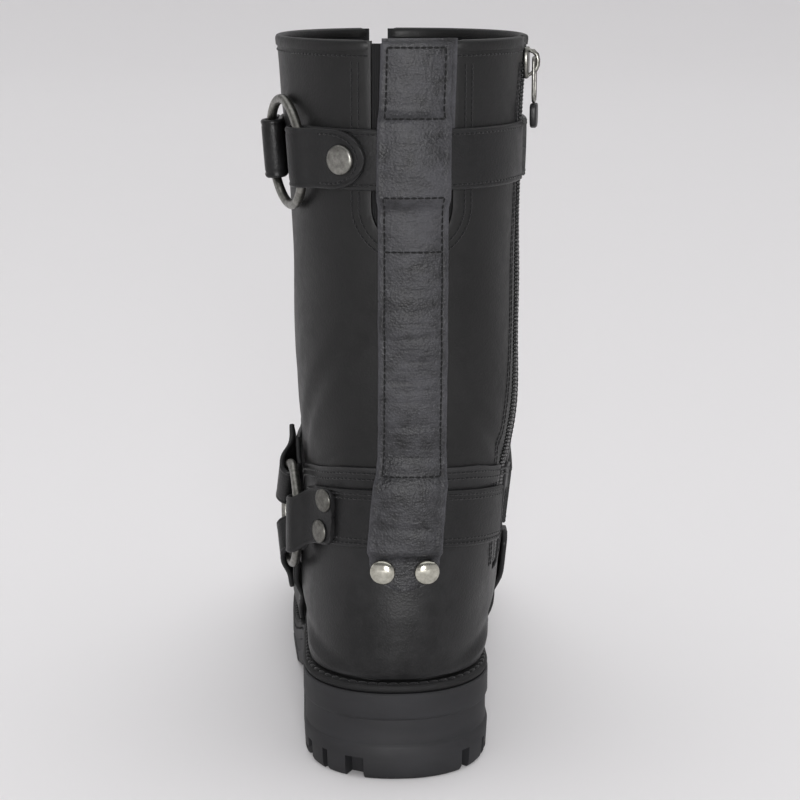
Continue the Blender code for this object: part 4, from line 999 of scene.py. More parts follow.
@dataclass
class Seams:
    """Stitches along lines, made by a small node tree on one point for each stitch."""

    name: str
    material: bpy.types.Material
    pitch: float = 0.0023
    length: float = 0.0023
    width: float = 0.00080
    height: float = 0.00055
    spots: list[tuple[Vector, Vector, Vector]] = field(default_factory=list)

    def line(self, path: Sequence[tuple[Vector, Vector]], closed: bool = False) -> None:
        """Put stitches along a path.

        Args:
            path: points with their outward normals.
            closed: whether the path joins its start.
        """
        path = list(path) + ([path[0]] if closed else [])
        places = np.concatenate([[0], np.cumsum([(path[i + 1][0] - path[i][0]).length for i in range(len(path) - 1)])])
        number = max(int(places[-1] / self.pitch), 1)
        for k in range(number):
            at = (k + 0.5) * places[-1] / number
            i = int(np.clip(np.searchsorted(places, at) - 1, 0, len(path) - 2))
            t = (at - places[i]) / max(places[i + 1] - places[i], 1e-9)
            spot = path[i][0].lerp(path[i + 1][0], t)
            normal = path[i][1].lerp(path[i + 1][1], t).normalized()
            self.spots.append((spot, (path[i + 1][0] - path[i][0]).normalized(), normal))

    def tree(self) -> bpy.types.NodeTree:
        """Node tree that sets one stitch on each point.

        Returns:
            The tree, with named inputs for a stitch's sizes and material.
        """
        tree = bpy.data.node_groups.new(self.name + "_tree", "GeometryNodeTree")
        tree.interface.new_socket("Geometry", in_out="INPUT", socket_type="NodeSocketGeometry")
        for name in ("Length", "Width", "Height"):
            tree.interface.new_socket(name, in_out="INPUT", socket_type="NodeSocketFloat")
        tree.interface.new_socket("Finish", in_out="INPUT", socket_type="NodeSocketMaterial")
        tree.interface.new_socket("Geometry", in_out="OUTPUT", socket_type="NodeSocketGeometry")
        add = tree.nodes.new
        given, result = add("NodeGroupInput"), add("NodeGroupOutput")
        shape = self.stitch(tree)
        size = add("ShaderNodeCombineXYZ")
        for i, name in enumerate(("Length", "Width", "Height")):
            tree.links.new(given.outputs[name], size.inputs[i])
        turns = []
        for axis, pivot, name in (("X", "AUTO", "along"), ("Z", "X", "out")):
            read = add("GeometryNodeInputNamedAttribute")
            read.data_type = "FLOAT_VECTOR"
            read.inputs[0].default_value = name
            turn = add("FunctionNodeAlignRotationToVector")
            turn.axis, turn.pivot_axis = axis, pivot
            tree.links.new(read.outputs[0], turn.inputs["Vector"])
            if turns:
                tree.links.new(turns[-1].outputs[0], turn.inputs["Rotation"])
            turns.append(turn)
        put = add("GeometryNodeInstanceOnPoints")
        real = add("GeometryNodeRealizeInstances")
        flat = add("GeometryNodeSetShadeSmooth")
        dress = add("GeometryNodeSetMaterial")
        for source, target in ((given.outputs["Geometry"], put.inputs["Points"]), (shape, put.inputs["Instance"]),
                               (turns[-1].outputs[0], put.inputs["Rotation"]), (size.outputs[0], put.inputs["Scale"]),
                               (put.outputs[0], real.inputs[0]), (real.outputs[0], flat.inputs[0]),
                               (flat.outputs[0], dress.inputs["Geometry"]),
                               (given.outputs["Finish"], dress.inputs["Material"]),
                               (dress.outputs[0], result.inputs[0])):
            tree.links.new(source, target)
        return tree

    def stitch(self, tree: bpy.types.NodeTree) -> bpy.types.NodeSocket:
        """One stitch of unit size: a plump grain of thread.

        Args:
            tree: the tree that gets its nodes.

        Returns:
            The socket with its mesh.
        """
        ball = tree.nodes.new("GeometryNodeMeshUVSphere")
        ball.inputs["Segments"].default_value = 7
        ball.inputs["Rings"].default_value = 5
        ball.inputs["Radius"].default_value = 0.5
        turn = tree.nodes.new("GeometryNodeTransform")
        turn.inputs["Rotation"].default_value = (0.0, math.pi / 2, 0.0)
        tree.links.new(ball.outputs["Mesh"], turn.inputs["Geometry"])
        return turn.outputs[0]

    def build(self, body: str = BODY) -> bpy.types.Object:
        """Make the stitches as one plain mesh on a body.

        Args:
            body: the CAD body that they ride on.

        Returns:
            The piece.
        """
        mesh = bpy.data.meshes.new(self.name)
        mesh.from_pydata([s[0] for s in self.spots], [], [])
        for k, name in ((1, "along"), (2, "out")):
            layer = mesh.attributes.new(name, "FLOAT_VECTOR", "POINT")
            layer.data.foreach_set("vector", np.array([s[k] for s in self.spots], np.float32).ravel())
        item = link(self.name, mesh)
        step = item.modifiers.new("stitches", "NODES")
        step.node_group = self.tree()
        sizes = {"Length": self.length, "Width": self.width, "Height": self.height, "Finish": self.material}
        for socket in step.node_group.interface.items_tree:
            if socket.in_out == "INPUT" and socket.name in sizes:
                step[socket.identifier] = sizes[socket.name]
        bake(item)
        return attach(item, body)


class Teeth(Seams):
    """Metal teeth of the zip, made as stitches are but from a small block."""

    def stitch(self, tree: bpy.types.NodeTree) -> bpy.types.NodeSocket:
        """One tooth of unit size: a block.

        Args:
            tree: the tree that gets its node.

        Returns:
            The socket with its mesh.
        """
        block = tree.nodes.new("GeometryNodeMeshCube")
        block.inputs["Size"].default_value = (1.0, 1.0, 1.0)
        return block.outputs["Mesh"]


@dataclass
class LeatherLayer:
    """A layer of leather cut from the boot's skin along an outline."""

    name: str
    skin: Skin
    keep: Callable[[np.ndarray], np.ndarray]
    outer: float
    thickness: float
    round_edge: float = 0.0006

    def build(self, *materials: bpy.types.Material) -> bpy.types.Object:
        """Cut the layer and give it its thickness and rounded edges.

        Args:
            *materials: outside, then inside.

        Returns:
            The piece.
        """
        skin = self.skin
        rows, count = skin.grid.shape[:2]
        grid = skin.grid.copy()
        depth = self.keep(grid.reshape(-1, 3)).reshape(rows, count)
        grid, depth = self.snap(grid, depth)
        points = (grid + skin.normal * self.outer).reshape(-1, 3)
        depth = depth.reshape(-1)
        faces = []
        for r in range(rows - 1):
            for c in range(count):
                if skin.on_sole[r] and skin.on_sole[r + 1] and c in (0, count - 1):
                    continue
                quad = [r * count + c, r * count + (c + 1) % count,
                        (r + 1) * count + (c + 1) % count, (r + 1) * count + c]
                inside = [i for i in quad if depth[i] >= -1e-9]
                if len(inside) >= 3 and max(depth[i] for i in inside) > 1e-7:
                    faces.append(inside)
        used = sorted({i for face in faces for i in face})
        where = {old: new for new, old in enumerate(used)}
        shape = bmesh.new()
        layer = shape.verts.layers.float.new("edge")
        verts = []
        for i in used:
            vert = shape.verts.new(points[i])
            # Points near the cut edge are lightened, as rubbing wear and as a painted highlight on the rounded edge.
            vert[layer] = float(np.clip(1 - depth[i] / 0.0016, 0, 1)) if self.round_edge else 0.0
            verts.append(vert)
        for face in faces:
            try:
                shape.faces.new([verts[where[i]] for i in face])
            except ValueError:
                continue
        bmesh.ops.remove_doubles(shape, verts=shape.verts, dist=2e-5)
        bmesh.ops.dissolve_degenerate(shape, dist=1e-5, edges=shape.edges)
        loose = [v for v in shape.verts if not v.link_faces]
        bmesh.ops.delete(shape, geom=loose, context="VERTS")
        mesh = bpy.data.meshes.new(self.name)
        shape.normal_update()
        shape.to_mesh(mesh)
        shape.free()
        item = link(self.name, mesh, *materials)
        wall = item.modifiers.new("wall", "SOLIDIFY")
        wall.thickness = self.thickness
        wall.offset = -1.0
        wall.use_even_offset = False
        if len(materials) > 1:
            wall.material_offset = 1
            wall.material_offset_rim = 0
        if self.round_edge:
            rim = item.modifiers.new("rim", "BEVEL")
            rim.limit_method = "ANGLE"
            rim.angle_limit = math.radians(50)
            rim.width = self.round_edge
            rim.segments = 2
            rim.use_clamp_overlap = True
        return shade(bake(item), 48.0)

    @staticmethod
    def snap(grid: np.ndarray, depth: np.ndarray) -> tuple[np.ndarray, np.ndarray]:
        """Move the grid's points that are nearest the outline onto it.

        Args:
            grid: rows, points and coordinates.
            depth: how deep each point lies inside the outline.

        Returns:
            The moved grid and its depths, zero on the outline.
        """
        best = np.full(depth.shape, 0.5)
        target = grid.copy()
        for axis, shift in ((0, 1), (0, -1), (1, 1), (1, -1)):
            other = np.roll(grid, shift, axis=axis)
            beyond = np.roll(depth, shift, axis=axis)
            crosses = (depth >= 0) != (beyond >= 0)
            if axis == 0:
                crosses[0 if shift == 1 else -1] = False
            share = np.where(crosses, np.abs(depth) / np.maximum(np.abs(depth) + np.abs(beyond), 1e-12), 9.0)
            nearer = share < best
            best = np.where(nearer, share, best)
            target = np.where(nearer[..., None], grid + share[..., None].clip(0, 1) * (other - grid), target)
        moved = best < 0.5
        return target, np.where(moved, 0.0, depth)


@dataclass(frozen=True)
class RingFrame:
    """Where a ring stands: its middle, the way along the strap, outward, and across the strap."""

    centre: Vector
    away: Vector
    out: Vector
    across: Vector

    def turned(self, away: Vector, across: Vector) -> RingFrame:
        """The same place with the strap going another way."""
        return RingFrame(self.centre, away.normalized(), self.out, across.normalized())


@dataclass
class StrapShape:
    """Cross-section of a strap with plump edges and the dents of its edge stitching."""

    stitched: float = 0.82
    dent: float = 0.10
    bead: float = 0.06

    def profile(self) -> list[tuple[float, float]]:
        """Closed section of the strap.

        Returns:
            Pairs of place across, -1 to 1, and height, 0 to 1.
        """
        across = [-0.93, -0.88, -0.82, -0.76, -0.6, -0.3, 0.0, 0.3, 0.6, 0.76, 0.82, 0.88, 0.93]
        top = []
        for v in across:
            fall = self.dent * math.exp(-((abs(v) - self.stitched) / 0.045) ** 2)
            rise = self.bead * math.exp(-((abs(v) - 0.91) / 0.05) ** 2)
            top.append((v, 1.0 - fall + rise - 0.03 * abs(v)))
        edge = [(0.975, 0.90), (1.0, 0.70), (1.0, 0.5), (1.0, 0.30), (0.975, 0.10)]
        under = [(v, 1.0 - h) for v, h in reversed(top)]
        left = [(-v, 1.0 - h) for v, h in edge]
        return top + edge + under + left

    def wear_and_highlight(self) -> list[float]:
        """How much each point of the section is lightened at the edges, for rubbing wear and a painted highlight."""
        return [max(0.0, min(1.0, (abs(v) - 0.90) / 0.08)) * 0.8 for v, _ in self.profile()]


@dataclass
class Harness:
    """Everything that lies on the leather as a band: straps, their folds round the rings and tabs."""

    skin: Skin
    finishes: Finishes
    seams: Seams
    ring_radius: float = 0.0219
    wire: float = 0.0020
    fold_centre: float = 0.0181
    fold_reach: float = 0.0042
    fold_rise: float = 0.0036
    calf_half: float = 0.0122
    ankle_half: float = 0.0125
    instep_half: float = 0.0118
    arch_half: float = 0.0095
    arch_end_half: float = 0.0105
    shape: StrapShape = field(default_factory=StrapShape)

    def __post_init__(self) -> None:
        """Read the section once and place both rings."""
        self.section = self.shape.profile()
        self.calf = self.ring_frame("calf_ring_turn")
        self.ankle = self.ring_frame("ankle_ring_turn")

    @staticmethod
    def ring_frame(joint: str) -> RingFrame:
        """Place of a ring.

        Args:
            joint: name of the joint that it turns on.

        Returns:
            Its frame.
        """
        found = next(j for j in frame["joints"] if j["name"] == joint)
        out = Vector(found["axis"]).normalized()
        up = (UP - out * out.z).normalized()
        rear = up.cross(out).normalized()
        if rear.y > 0:
            rear = -rear
        return RingFrame(Vector(found["pos_m"]), rear, out, up)

    def lay(self, angle: float, z: float, half: float, low: float, high: float,
            across: Vector | tuple[float, float, float] = (0, 0, 1)) -> Loop:
        """Section of a band that lies on the leather.

        Args:
            angle: degrees round the leg.
            z: height of its middle.
            half: half its width.
            low: level of its inner face.
            high: level of its outer face.
            across: direction of its width.

        Returns:
            A closed loop.
        """
        middle = self.skin.hit(angle, z)[0]
        across = Vector(across).normalized()
        loop, known = [], {}
        for v, h in self.section:
            if v not in known:
                known[v] = self.skin.onto(middle + across * (half * v), 0.0)
            spot, normal = known[v]
            loop.append(spot + normal * (low + (high - low) * h))
        return loop

    def local(self, ring: RingFrame, along: float, height: float, tilt: float, half: float, swap: bool) -> Loop:
        """Section of a band where it goes round the ring's wire.

        Args:
            ring: the ring's frame.
            along: how far from the ring's middle its own middle is.
            height: how far out it is.
            tilt: which way its outer face looks, in radians from the way along the strap.
            half: half the band's width.
            swap: whether the outer face comes second, for the reverse order.

        Returns:
            A closed loop.
        """
        lean = (math.cos(tilt), math.sin(tilt))
        loop = []
        for v, h in self.section:
            side = (0.5 - h) if swap else (h - 0.5)
            loop.append(ring.centre + ring.away * (along + lean[0] * STRAP * side)
                        + ring.out * (height + lean[1] * STRAP * side) + ring.across * (half * v))
        return loop

    def fold(self, ring: RingFrame, half: float, swap: bool = False) -> list[Loop]:
        """Sections of a band that comes in under the wire, folds round it and goes back over it.

        Args:
            ring: the ring's frame.
            half: half the band's width.
            swap: whether the outer face comes second, for the reverse order.

        Returns:
            The sections in order.
        """
        loops = []
        for turn in np.linspace(0, 180, 17):
            a = math.radians(turn)
            loops.append(self.local(ring, self.fold_centre - self.fold_reach * math.sin(a),
                                    0.0001 - self.fold_rise * math.cos(a), math.pi / 2 - a, half, swap))
        for along, height in ((0.0210, 0.0037), (0.0240, 0.0036)):
            loops.append(self.local(ring, along, height, 1.5 * math.pi, half, swap))
        return loops

    def edge_angle(self, z: float, side: int) -> float:
        """Where a strap ends beside the zip.

        Args:
            z: height of the strap.
            side: 1 for the rear strap, -1 for the front one.

        Returns:
            The angle of its end.
        """
        point, normal = self.skin.at_zip(0.0, z)
        along = UP.cross(normal).normalized()
        if along.y > 0:
            along = -along
        return self.skin.angle_of(point + along * (side * 0.0074))

    @staticmethod
    def joined(first: list[Loop], second: list[Loop], steps: int = 4, reach: int = 3) -> list[Loop]:
        """Two runs of sections joined by a soft bend.

        Args:
            first: sections before the bend.
            second: sections after it.
            steps: sections added between them.
            reach: how many sections of each run the bend softens.

        Returns:
            All sections in order.
        """
        between = [[a.lerp(b, k / (steps + 1)) for a, b in zip(first[-1], second[0])] for k in range(1, steps + 1)]
        loops = first + between + second
        low, high = max(len(first) - reach, 1), min(len(first) + steps + reach, len(loops) - 1)
        for _ in range(8):
            moved = [[(a + b * 2 + c) / 4 for a, b, c in zip(loops[i - 1], loops[i], loops[i + 1])]
                     for i in range(low, high)]
            loops[low:high] = moved
        return loops

    def band(self, name: str, node: str, loops: list[Loop], material: bpy.types.Material) -> bpy.types.Object:
        """Close a band and put it in place of its CAD node.

        Args:
            name: the piece's name.
            node: the CAD node.
            loops: its sections.
            material: its finish.

        Returns:
            The piece.
        """
        return piece(loft(name, loops, edge=self.shape.wear_and_highlight()), material, 62.0, node)

    def seam_rows(self, stations: Sequence[tuple[float, float, float, Vector]], level: float,
                  rows: Sequence[float]) -> None:
        """Stitch along a band.

        Args:
            stations: angle, height, half width and direction across at each place.
            level: level of the band's outer face.
            rows: places of the seams across the band.
        """
        for v in rows:
            path = []
            for angle, z, half, across in stations:
                middle = self.skin.hit(angle, z)[0]
                path.append(self.skin.onto(middle + Vector(across).normalized() * (half * v), level - SEAM_STEP))
            self.seams.line(path)

    def end_seam(self, middle: Vector, across: Vector, half: float, level: float, reach: float, number: int) -> None:
        """Stitch across a band.

        Args:
            middle: the point of the leather under the seam's middle.
            across: direction of the band's width.
            half: half that width.
            level: level of the band's outer face.
            reach: how far the seam goes, 1 for the band's edge.
            number: points along it.
        """
        self.seams.line([self.skin.onto(middle + across * (half * v), level - SEAM_STEP)
                         for v in np.linspace(-reach, reach, number)])

    def folded_end(self, ring: RingFrame, away: Vector, across: Vector, half: float, inner: float,
                   reaches: Sequence[float]) -> tuple[list[Loop], list[tuple[float, float, float, Vector]]]:
        """Sewn-back end of a strap, from its tip to the ring and round the wire.

        Args:
            ring: the ring's frame.
            away: the strap's way from the ring.
            across: direction of its width.
            half: half that width.
            inner: level of the end's inner face.
            reaches: distances of its sections from the ring's middle.

        Returns:
            The sections, and the places of those that lie on the strap.
        """
        loops, places = [], []
        for reach in reaches:
            spot = ring.centre + away * reach
            angle = self.skin.angle_of(spot)
            loops.append(self.lay(angle, spot.z, half, inner, inner + STRAP, across))
            places.append((angle, spot.z, half, across))
        return self.joined(loops, self.fold(ring.turned(away, across), half, swap=True)[::-1]), places

    def tab(self, ring: RingFrame, height: Callable[[float], float], half: float, base: float, end: float,
            squareness: float) -> list[Loop]:
        """Folded-back layer of a strap, from the ring to its end.

        Args:
            ring: where the strap folds.
            height: height of the strap's middle at an angle.
            half: half its width.
            base: level of what it lies on.
            end: angle of its end.
            squareness: 0 for a round end, towards 1 for a square one.

        Returns:
            Its sections.
        """
        low = base + 2 * GAP + STRAP
        first = self.skin.angle_of(ring.centre + ring.away * FOLDED_END)
        turn = 12.0 * (1 - 0.7 * squareness)
        start = end - turn
        spots = [(first, half)] + [(a, half) for a in np.arange(first + 2.2, start, 2.2)]
        for k in np.linspace(0, math.pi / 2, 16):
            spots.append((start + turn * math.sin(k), half * max(math.cos(k), 0.02) ** (0.9 - 0.6 * squareness)))
        return [self.lay(a, height(a), wide, low + STRAP, low) for a, wide in spots]

    def tab_seam(self, first: float, end: float, z: float, half: float, level: float, inset: float) -> None:
        """Stitch round a tab's edge.

        Args:
            first: angle of the tab's start.
            end: angle of its round end.
            z: height of its middle.
            half: half its width.
            level: level of its outer face.
            inset: how far the seam is from the edge.
        """
        reach = 12.0 - math.degrees(inset / 0.0580)
        spots = [(a, -1.0) for a in np.linspace(first, end - 12.0, 8)]
        spots += [(end - 12.0 + reach * math.sin(k), -math.cos(k)) for k in np.linspace(0.1, math.pi - 0.1, 18)]
        spots += [(a, 1.0) for a in np.linspace(end - 12.0, first, 8)]
        path = []
        for angle, side in spots:
            middle = self.skin.hit(angle, z)[0]
            path.append(self.skin.onto(middle + Vector((0, 0, side * (half - inset))), level))
        self.seams.line(path)

    def calf_straps(self) -> None:
        """Rear and front parts of the calf strap."""
        half, low, high = self.calf_half, GAP, GAP + STRAP
        edges = (-0.82, 0.82)
        start = self.edge_angle(CALF_Z, 1)
        stop = self.skin.angle_of(self.calf.centre + self.calf.away * self.fold_centre)
        angles = list(np.arange(start, stop, -2.0)) + [stop + 1.0]
        loops = self.joined([self.lay(a, CALF_Z, half, low, high) for a in angles], self.fold(self.calf, half), 1, 2)
        tab = self.tab(self.calf, lambda a: CALF_Z, half, 0.0, -14.0, 0.0)
        self.band("calf_strap_back_leather", "calf_strap_rear", self.joined(loops, tab), self.finishes.strap)
        self.seam_rows([(a, CALF_Z, half, UP) for a in angles], high, edges)
        self.tab_seam(-39.0, -14.0, CALF_Z, half, 2 * GAP + 2 * STRAP, 0.0022)
        turned = self.calf.turned(-self.calf.away, self.calf.across)
        second = low + GAP + STRAP
        tail = self.skin.angle_of(self.calf.centre + turned.away * 0.0480)
        first = self.skin.angle_of(self.calf.centre + turned.away * FOLDED_END)
        loops = [self.lay(a, CALF_Z, half, second, second + STRAP) for a in np.linspace(tail, first, 9)]
        loops = self.joined(loops, self.fold(turned, half, swap=True)[::-1])
        stop = self.skin.angle_of(self.calf.centre + turned.away * self.fold_centre)
        end = self.edge_angle(CALF_Z, -1) - 360.0
        angles = list(np.arange(stop - 1.0, end, -2.0)) + [end]
        loops = self.joined(loops, [self.lay(a, CALF_Z, half, high, low) for a in angles], 1, 2)
        self.band("calf_strap_front_leather", "calf_strap_front", loops, self.finishes.strap)
        self.seam_rows([(a, CALF_Z, half, UP) for a in angles if a < tail - 1.0], high, edges)
        self.seam_rows([(a, CALF_Z, half, UP) for a in np.linspace(tail + 1.5, first, 9)], second + STRAP, edges)

    def ankle_straps(self) -> None:
        """Ankle strap round the heel with its riveted tab."""
        half, low, high = self.ankle_half, STEP + GAP, STEP + GAP + STRAP
        height = lambda a: float(ANKLE_LINE.at("z", a))
        start = self.edge_angle(ANKLE_END_Z, 1)
        stop = self.skin.angle_of(self.ankle.centre + self.ankle.away * self.fold_centre)
        angles = list(np.arange(start, stop, -2.0)) + [stop + 1.0]
        loops = [self.lay(a, height(a), half, low, high) for a in angles]
        loops = self.joined(loops, self.fold(self.ankle, half), 1, 2)
        tab = self.tab(self.ankle, height, half, STEP, -28.5, 1.0)
        self.band("ankle_strap_leather", "ankle_strap_rear", self.joined(loops, tab), self.finishes.strap)
        self.seam_rows([(a, height(a), half, UP) for a in angles], high, (-0.86, -0.70, 0.70, 0.86))

    def instep_strap(self) -> None:
        """Strap from the ankle ring over the instep to the medial side."""
        low, high, half = STEP + GAP, STEP + GAP + STRAP, self.instep_half
        ring = self.ankle
        away = (-ring.away * 0.78 + ring.across * 0.62).normalized()
        across = (ring.across * 0.78 + ring.away * 0.62).normalized()
        second = low + GAP + STRAP
        loops, folded = self.folded_end(ring, away, across, half, second, np.linspace(0.0420, FOLDED_END, 7))
        run = []
        for reach in (self.fold_centre + 0.001, 0.022, 0.026, 0.030, 0.034):
            spot = ring.centre + away * reach
            angle = self.skin.angle_of(spot)
            run.append((angle - 360.0 if angle > 0 else angle, spot.z, half, 0.0))
        first = run[-1][0] - 3.0
        for angle in np.arange(first, -262.9, -2.2):
            run.append((angle, float(INSTEP_LINE.at("z", -angle)), float(INSTEP_LINE.at("half", -angle)),
                        min(1.0, (first + 3.0 - angle) / 20.0)))
        end = self.edge_angle(ANKLE_END_Z, -1) - 360.0
        run = [r for r in run if r[0] >= end]
        stations = []
        for angle, z, wide, turn in run:
            lean = Vector(across) * (1 - turn) + UP * turn
            loops.append(self.lay(angle, z, wide, high, low, lean))
            stations.append((angle, z, wide, lean))
        self.band("instep_strap_leather", "instep_strap", loops, self.finishes.strap)
        self.seam_rows(stations[9:], high, (-0.82, 0.82))
        self.seam_rows(folded, second + STRAP, (-0.80, 0.80))
        tip = self.skin.hit(*folded[0][:2])[0] - away * 0.0018
        self.end_seam(tip, across, half, second + STRAP, 0.76, 10)
        angle, z, wide, lean = stations[-1]
        self.end_seam(self.skin.hit(angle + 2.4, z)[0], lean.normalized(), wide, high, 0.78, 10)

    def arch_straps(self) -> None:
        """Strap from the ankle ring down to the welt, and its end on the medial side."""
        low, high, half = STEP + 4 * GAP, STEP + 4 * GAP + STRAP, self.arch_half
        ring = self.ankle
        away = (-ring.away * 0.55 - ring.across * 0.83).normalized()
        across = (ring.across * 0.55 - ring.away * 0.83).normalized()
        second = low + GAP + STRAP
        loops, folded = self.folded_end(ring, away, across, half, second, np.linspace(0.0380, FOLDED_END, 5))
        run = []
        for reach in np.arange(self.fold_centre + 0.001, 0.062, 0.0022):
            spot = ring.centre + away * reach
            if spot.z - half * abs(across.z) < 0.0445:
                break
            loops.append(self.lay(self.skin.angle_of(spot), spot.z, half, high, low, across))
            if reach > 0.040:
                run.append((self.skin.angle_of(spot), spot.z, half, across))
        spot = ring.centre + away * 0.055
        loops.append(self.lay(self.skin.angle_of(spot), 0.0475, half, high, low, -ring.away))
        self.band("arch_strap_outer_leather", "arch_strap_lateral", loops, self.finishes.strap)
        self.seam_rows(run, high, (-0.80, 0.80))
        self.seam_rows(folded, second + STRAP, (-0.78, 0.78))
        tip = self.skin.hit(*folded[0][:2])[0] - away * 0.0015
        self.end_seam(tip, across, half, second + STRAP, 0.74, 8)
        self.medial_end(low, high)

    def medial_end(self, low: float, high: float) -> None:
        """Round sewn-down end of the arch strap on the medial side.

        Args:
            low: level of its inner face.
            high: level of its outer face.
        """
        loops, run, top, round_from = [], [], 0.0905, 0.0845
        for z in list(np.linspace(0.0480, round_from, 18)) + list(np.linspace(round_from, top, 9)[1:]):
            share = min(max((z - round_from) / (top - round_from), 0.0), 1.0)
            half = self.arch_end_half * max(math.sqrt(1.0 - share ** 2.5), 0.45)
            angle = 116.0 - 18.0 * ramp(z, 0.045, top)
            loops.append(self.lay(angle, z, half, low, high, (0, 1, 0)))
            if z < top - 0.0015:
                run.append((angle, z, half, Vector((0, 1, 0))))
        self.band("arch_strap_inner_leather", "arch_strap_medial", loops, self.finishes.strap)
        self.seam_rows(run, high, (-0.78, 0.78))
        angle, z, half, across = run[-1]
        self.end_seam(self.skin.hit(angle, z)[0], across, half, high, 0.70, 8)

    def rings(self) -> None:
        """Both rings as round wire with a hammered, aged skin, each on its own body."""
        for node, ring in (("calf_ring", self.calf), ("ankle_ring", self.ankle)):
            turn = Matrix((ring.away, ring.across, ring.away.cross(ring.across))).transposed()
            loops = []
            for a in np.linspace(0, 2 * math.pi, 97)[:-1]:
                way = turn @ Vector((math.cos(a), math.sin(a), 0))
                side = turn @ Vector((0, 0, 1))
                loops.append([ring.centre + way * (self.ring_radius + self.wire * math.cos(b))
                              + side * (self.wire * math.sin(b)) for b in np.linspace(0, 2 * math.pi, 21)[:-1]])
            piece(loft(node + "_metal", loops, closed=True), self.finishes.antique, 60.0, node, node + "_body")


@dataclass
class Fasteners:
    """Rivets and the snap, each turned from its own profile."""

    skin: Skin
    finishes: Finishes

    def cap(self, node: str, angle: float, z: float, level: float, radius: float, height: float, dome: float,
            material: bpy.types.Material) -> None:
        """Turn a cap and stand it on the leather.

        Args:
            node: the CAD node that it stands for.
            angle: degrees round the leg.
            z: height of its middle.
            level: level of its foot.
            radius: its radius.
            height: how far it stands out.
            dome: 1 for a full dome, 0 for a flat cap.
            material: its finish.
        """
        spot, normal = self.skin.hit(angle, z)
        turn = normal.to_track_quat("Z", "Y").to_matrix()
        foot = spot + normal * (level - 0.0002)
        rows = [(1e-5, -0.0006), (radius * 0.80, -0.0006), (radius * 0.97, 0.0), (radius, height * 0.10),
                (radius * 0.995, height * 0.20)]
        for a in np.linspace(0.0, math.pi / 2, 11)[1:]:
            rows.append((max(radius * math.cos(a) ** (0.75 + 0.25 * dome), 1e-5),
                         height * (0.20 + 0.80 * (math.sin(a) ** (0.55 if dome < 0.7 else 0.9)))))
        loops = []
        for out, rise in rows:
            loops.append([foot + turn @ Vector((out * math.cos(b), out * math.sin(b), rise))
                          for b in np.linspace(0, 2 * math.pi, 41)[:-1]])
        piece(loft(node + "_metal", loops), material, 50.0, node)

    def build(self) -> None:
        """Set the snap and the four rivets."""
        tab = 3 * GAP + 2 * STRAP
        self.cap("calf_snap", -21.5, CALF_Z, tab, 0.0060, 0.0022, 0.55, self.finishes.antique)
        for k, (angle, z) in enumerate(((-32.5, 0.1205), (-35.0, 0.1060))):
            self.cap(f"tab_rivet_{k + 1}", angle, z, tab + STEP, 0.0050, 0.0012, 0.4, self.finishes.worn)
        for k, x in enumerate((-0.0057, 0.0111)):
            angle = self.skin.angle_at_x(x, 0.0932)
            self.cap(f"strip_rivet_{k + 1}", angle, 0.0932, 2 * GAP + STEP + STRIP, 0.0054, 0.0030, 0.95,
                     self.finishes.bright)
        LOG.info("snap and rivets made")


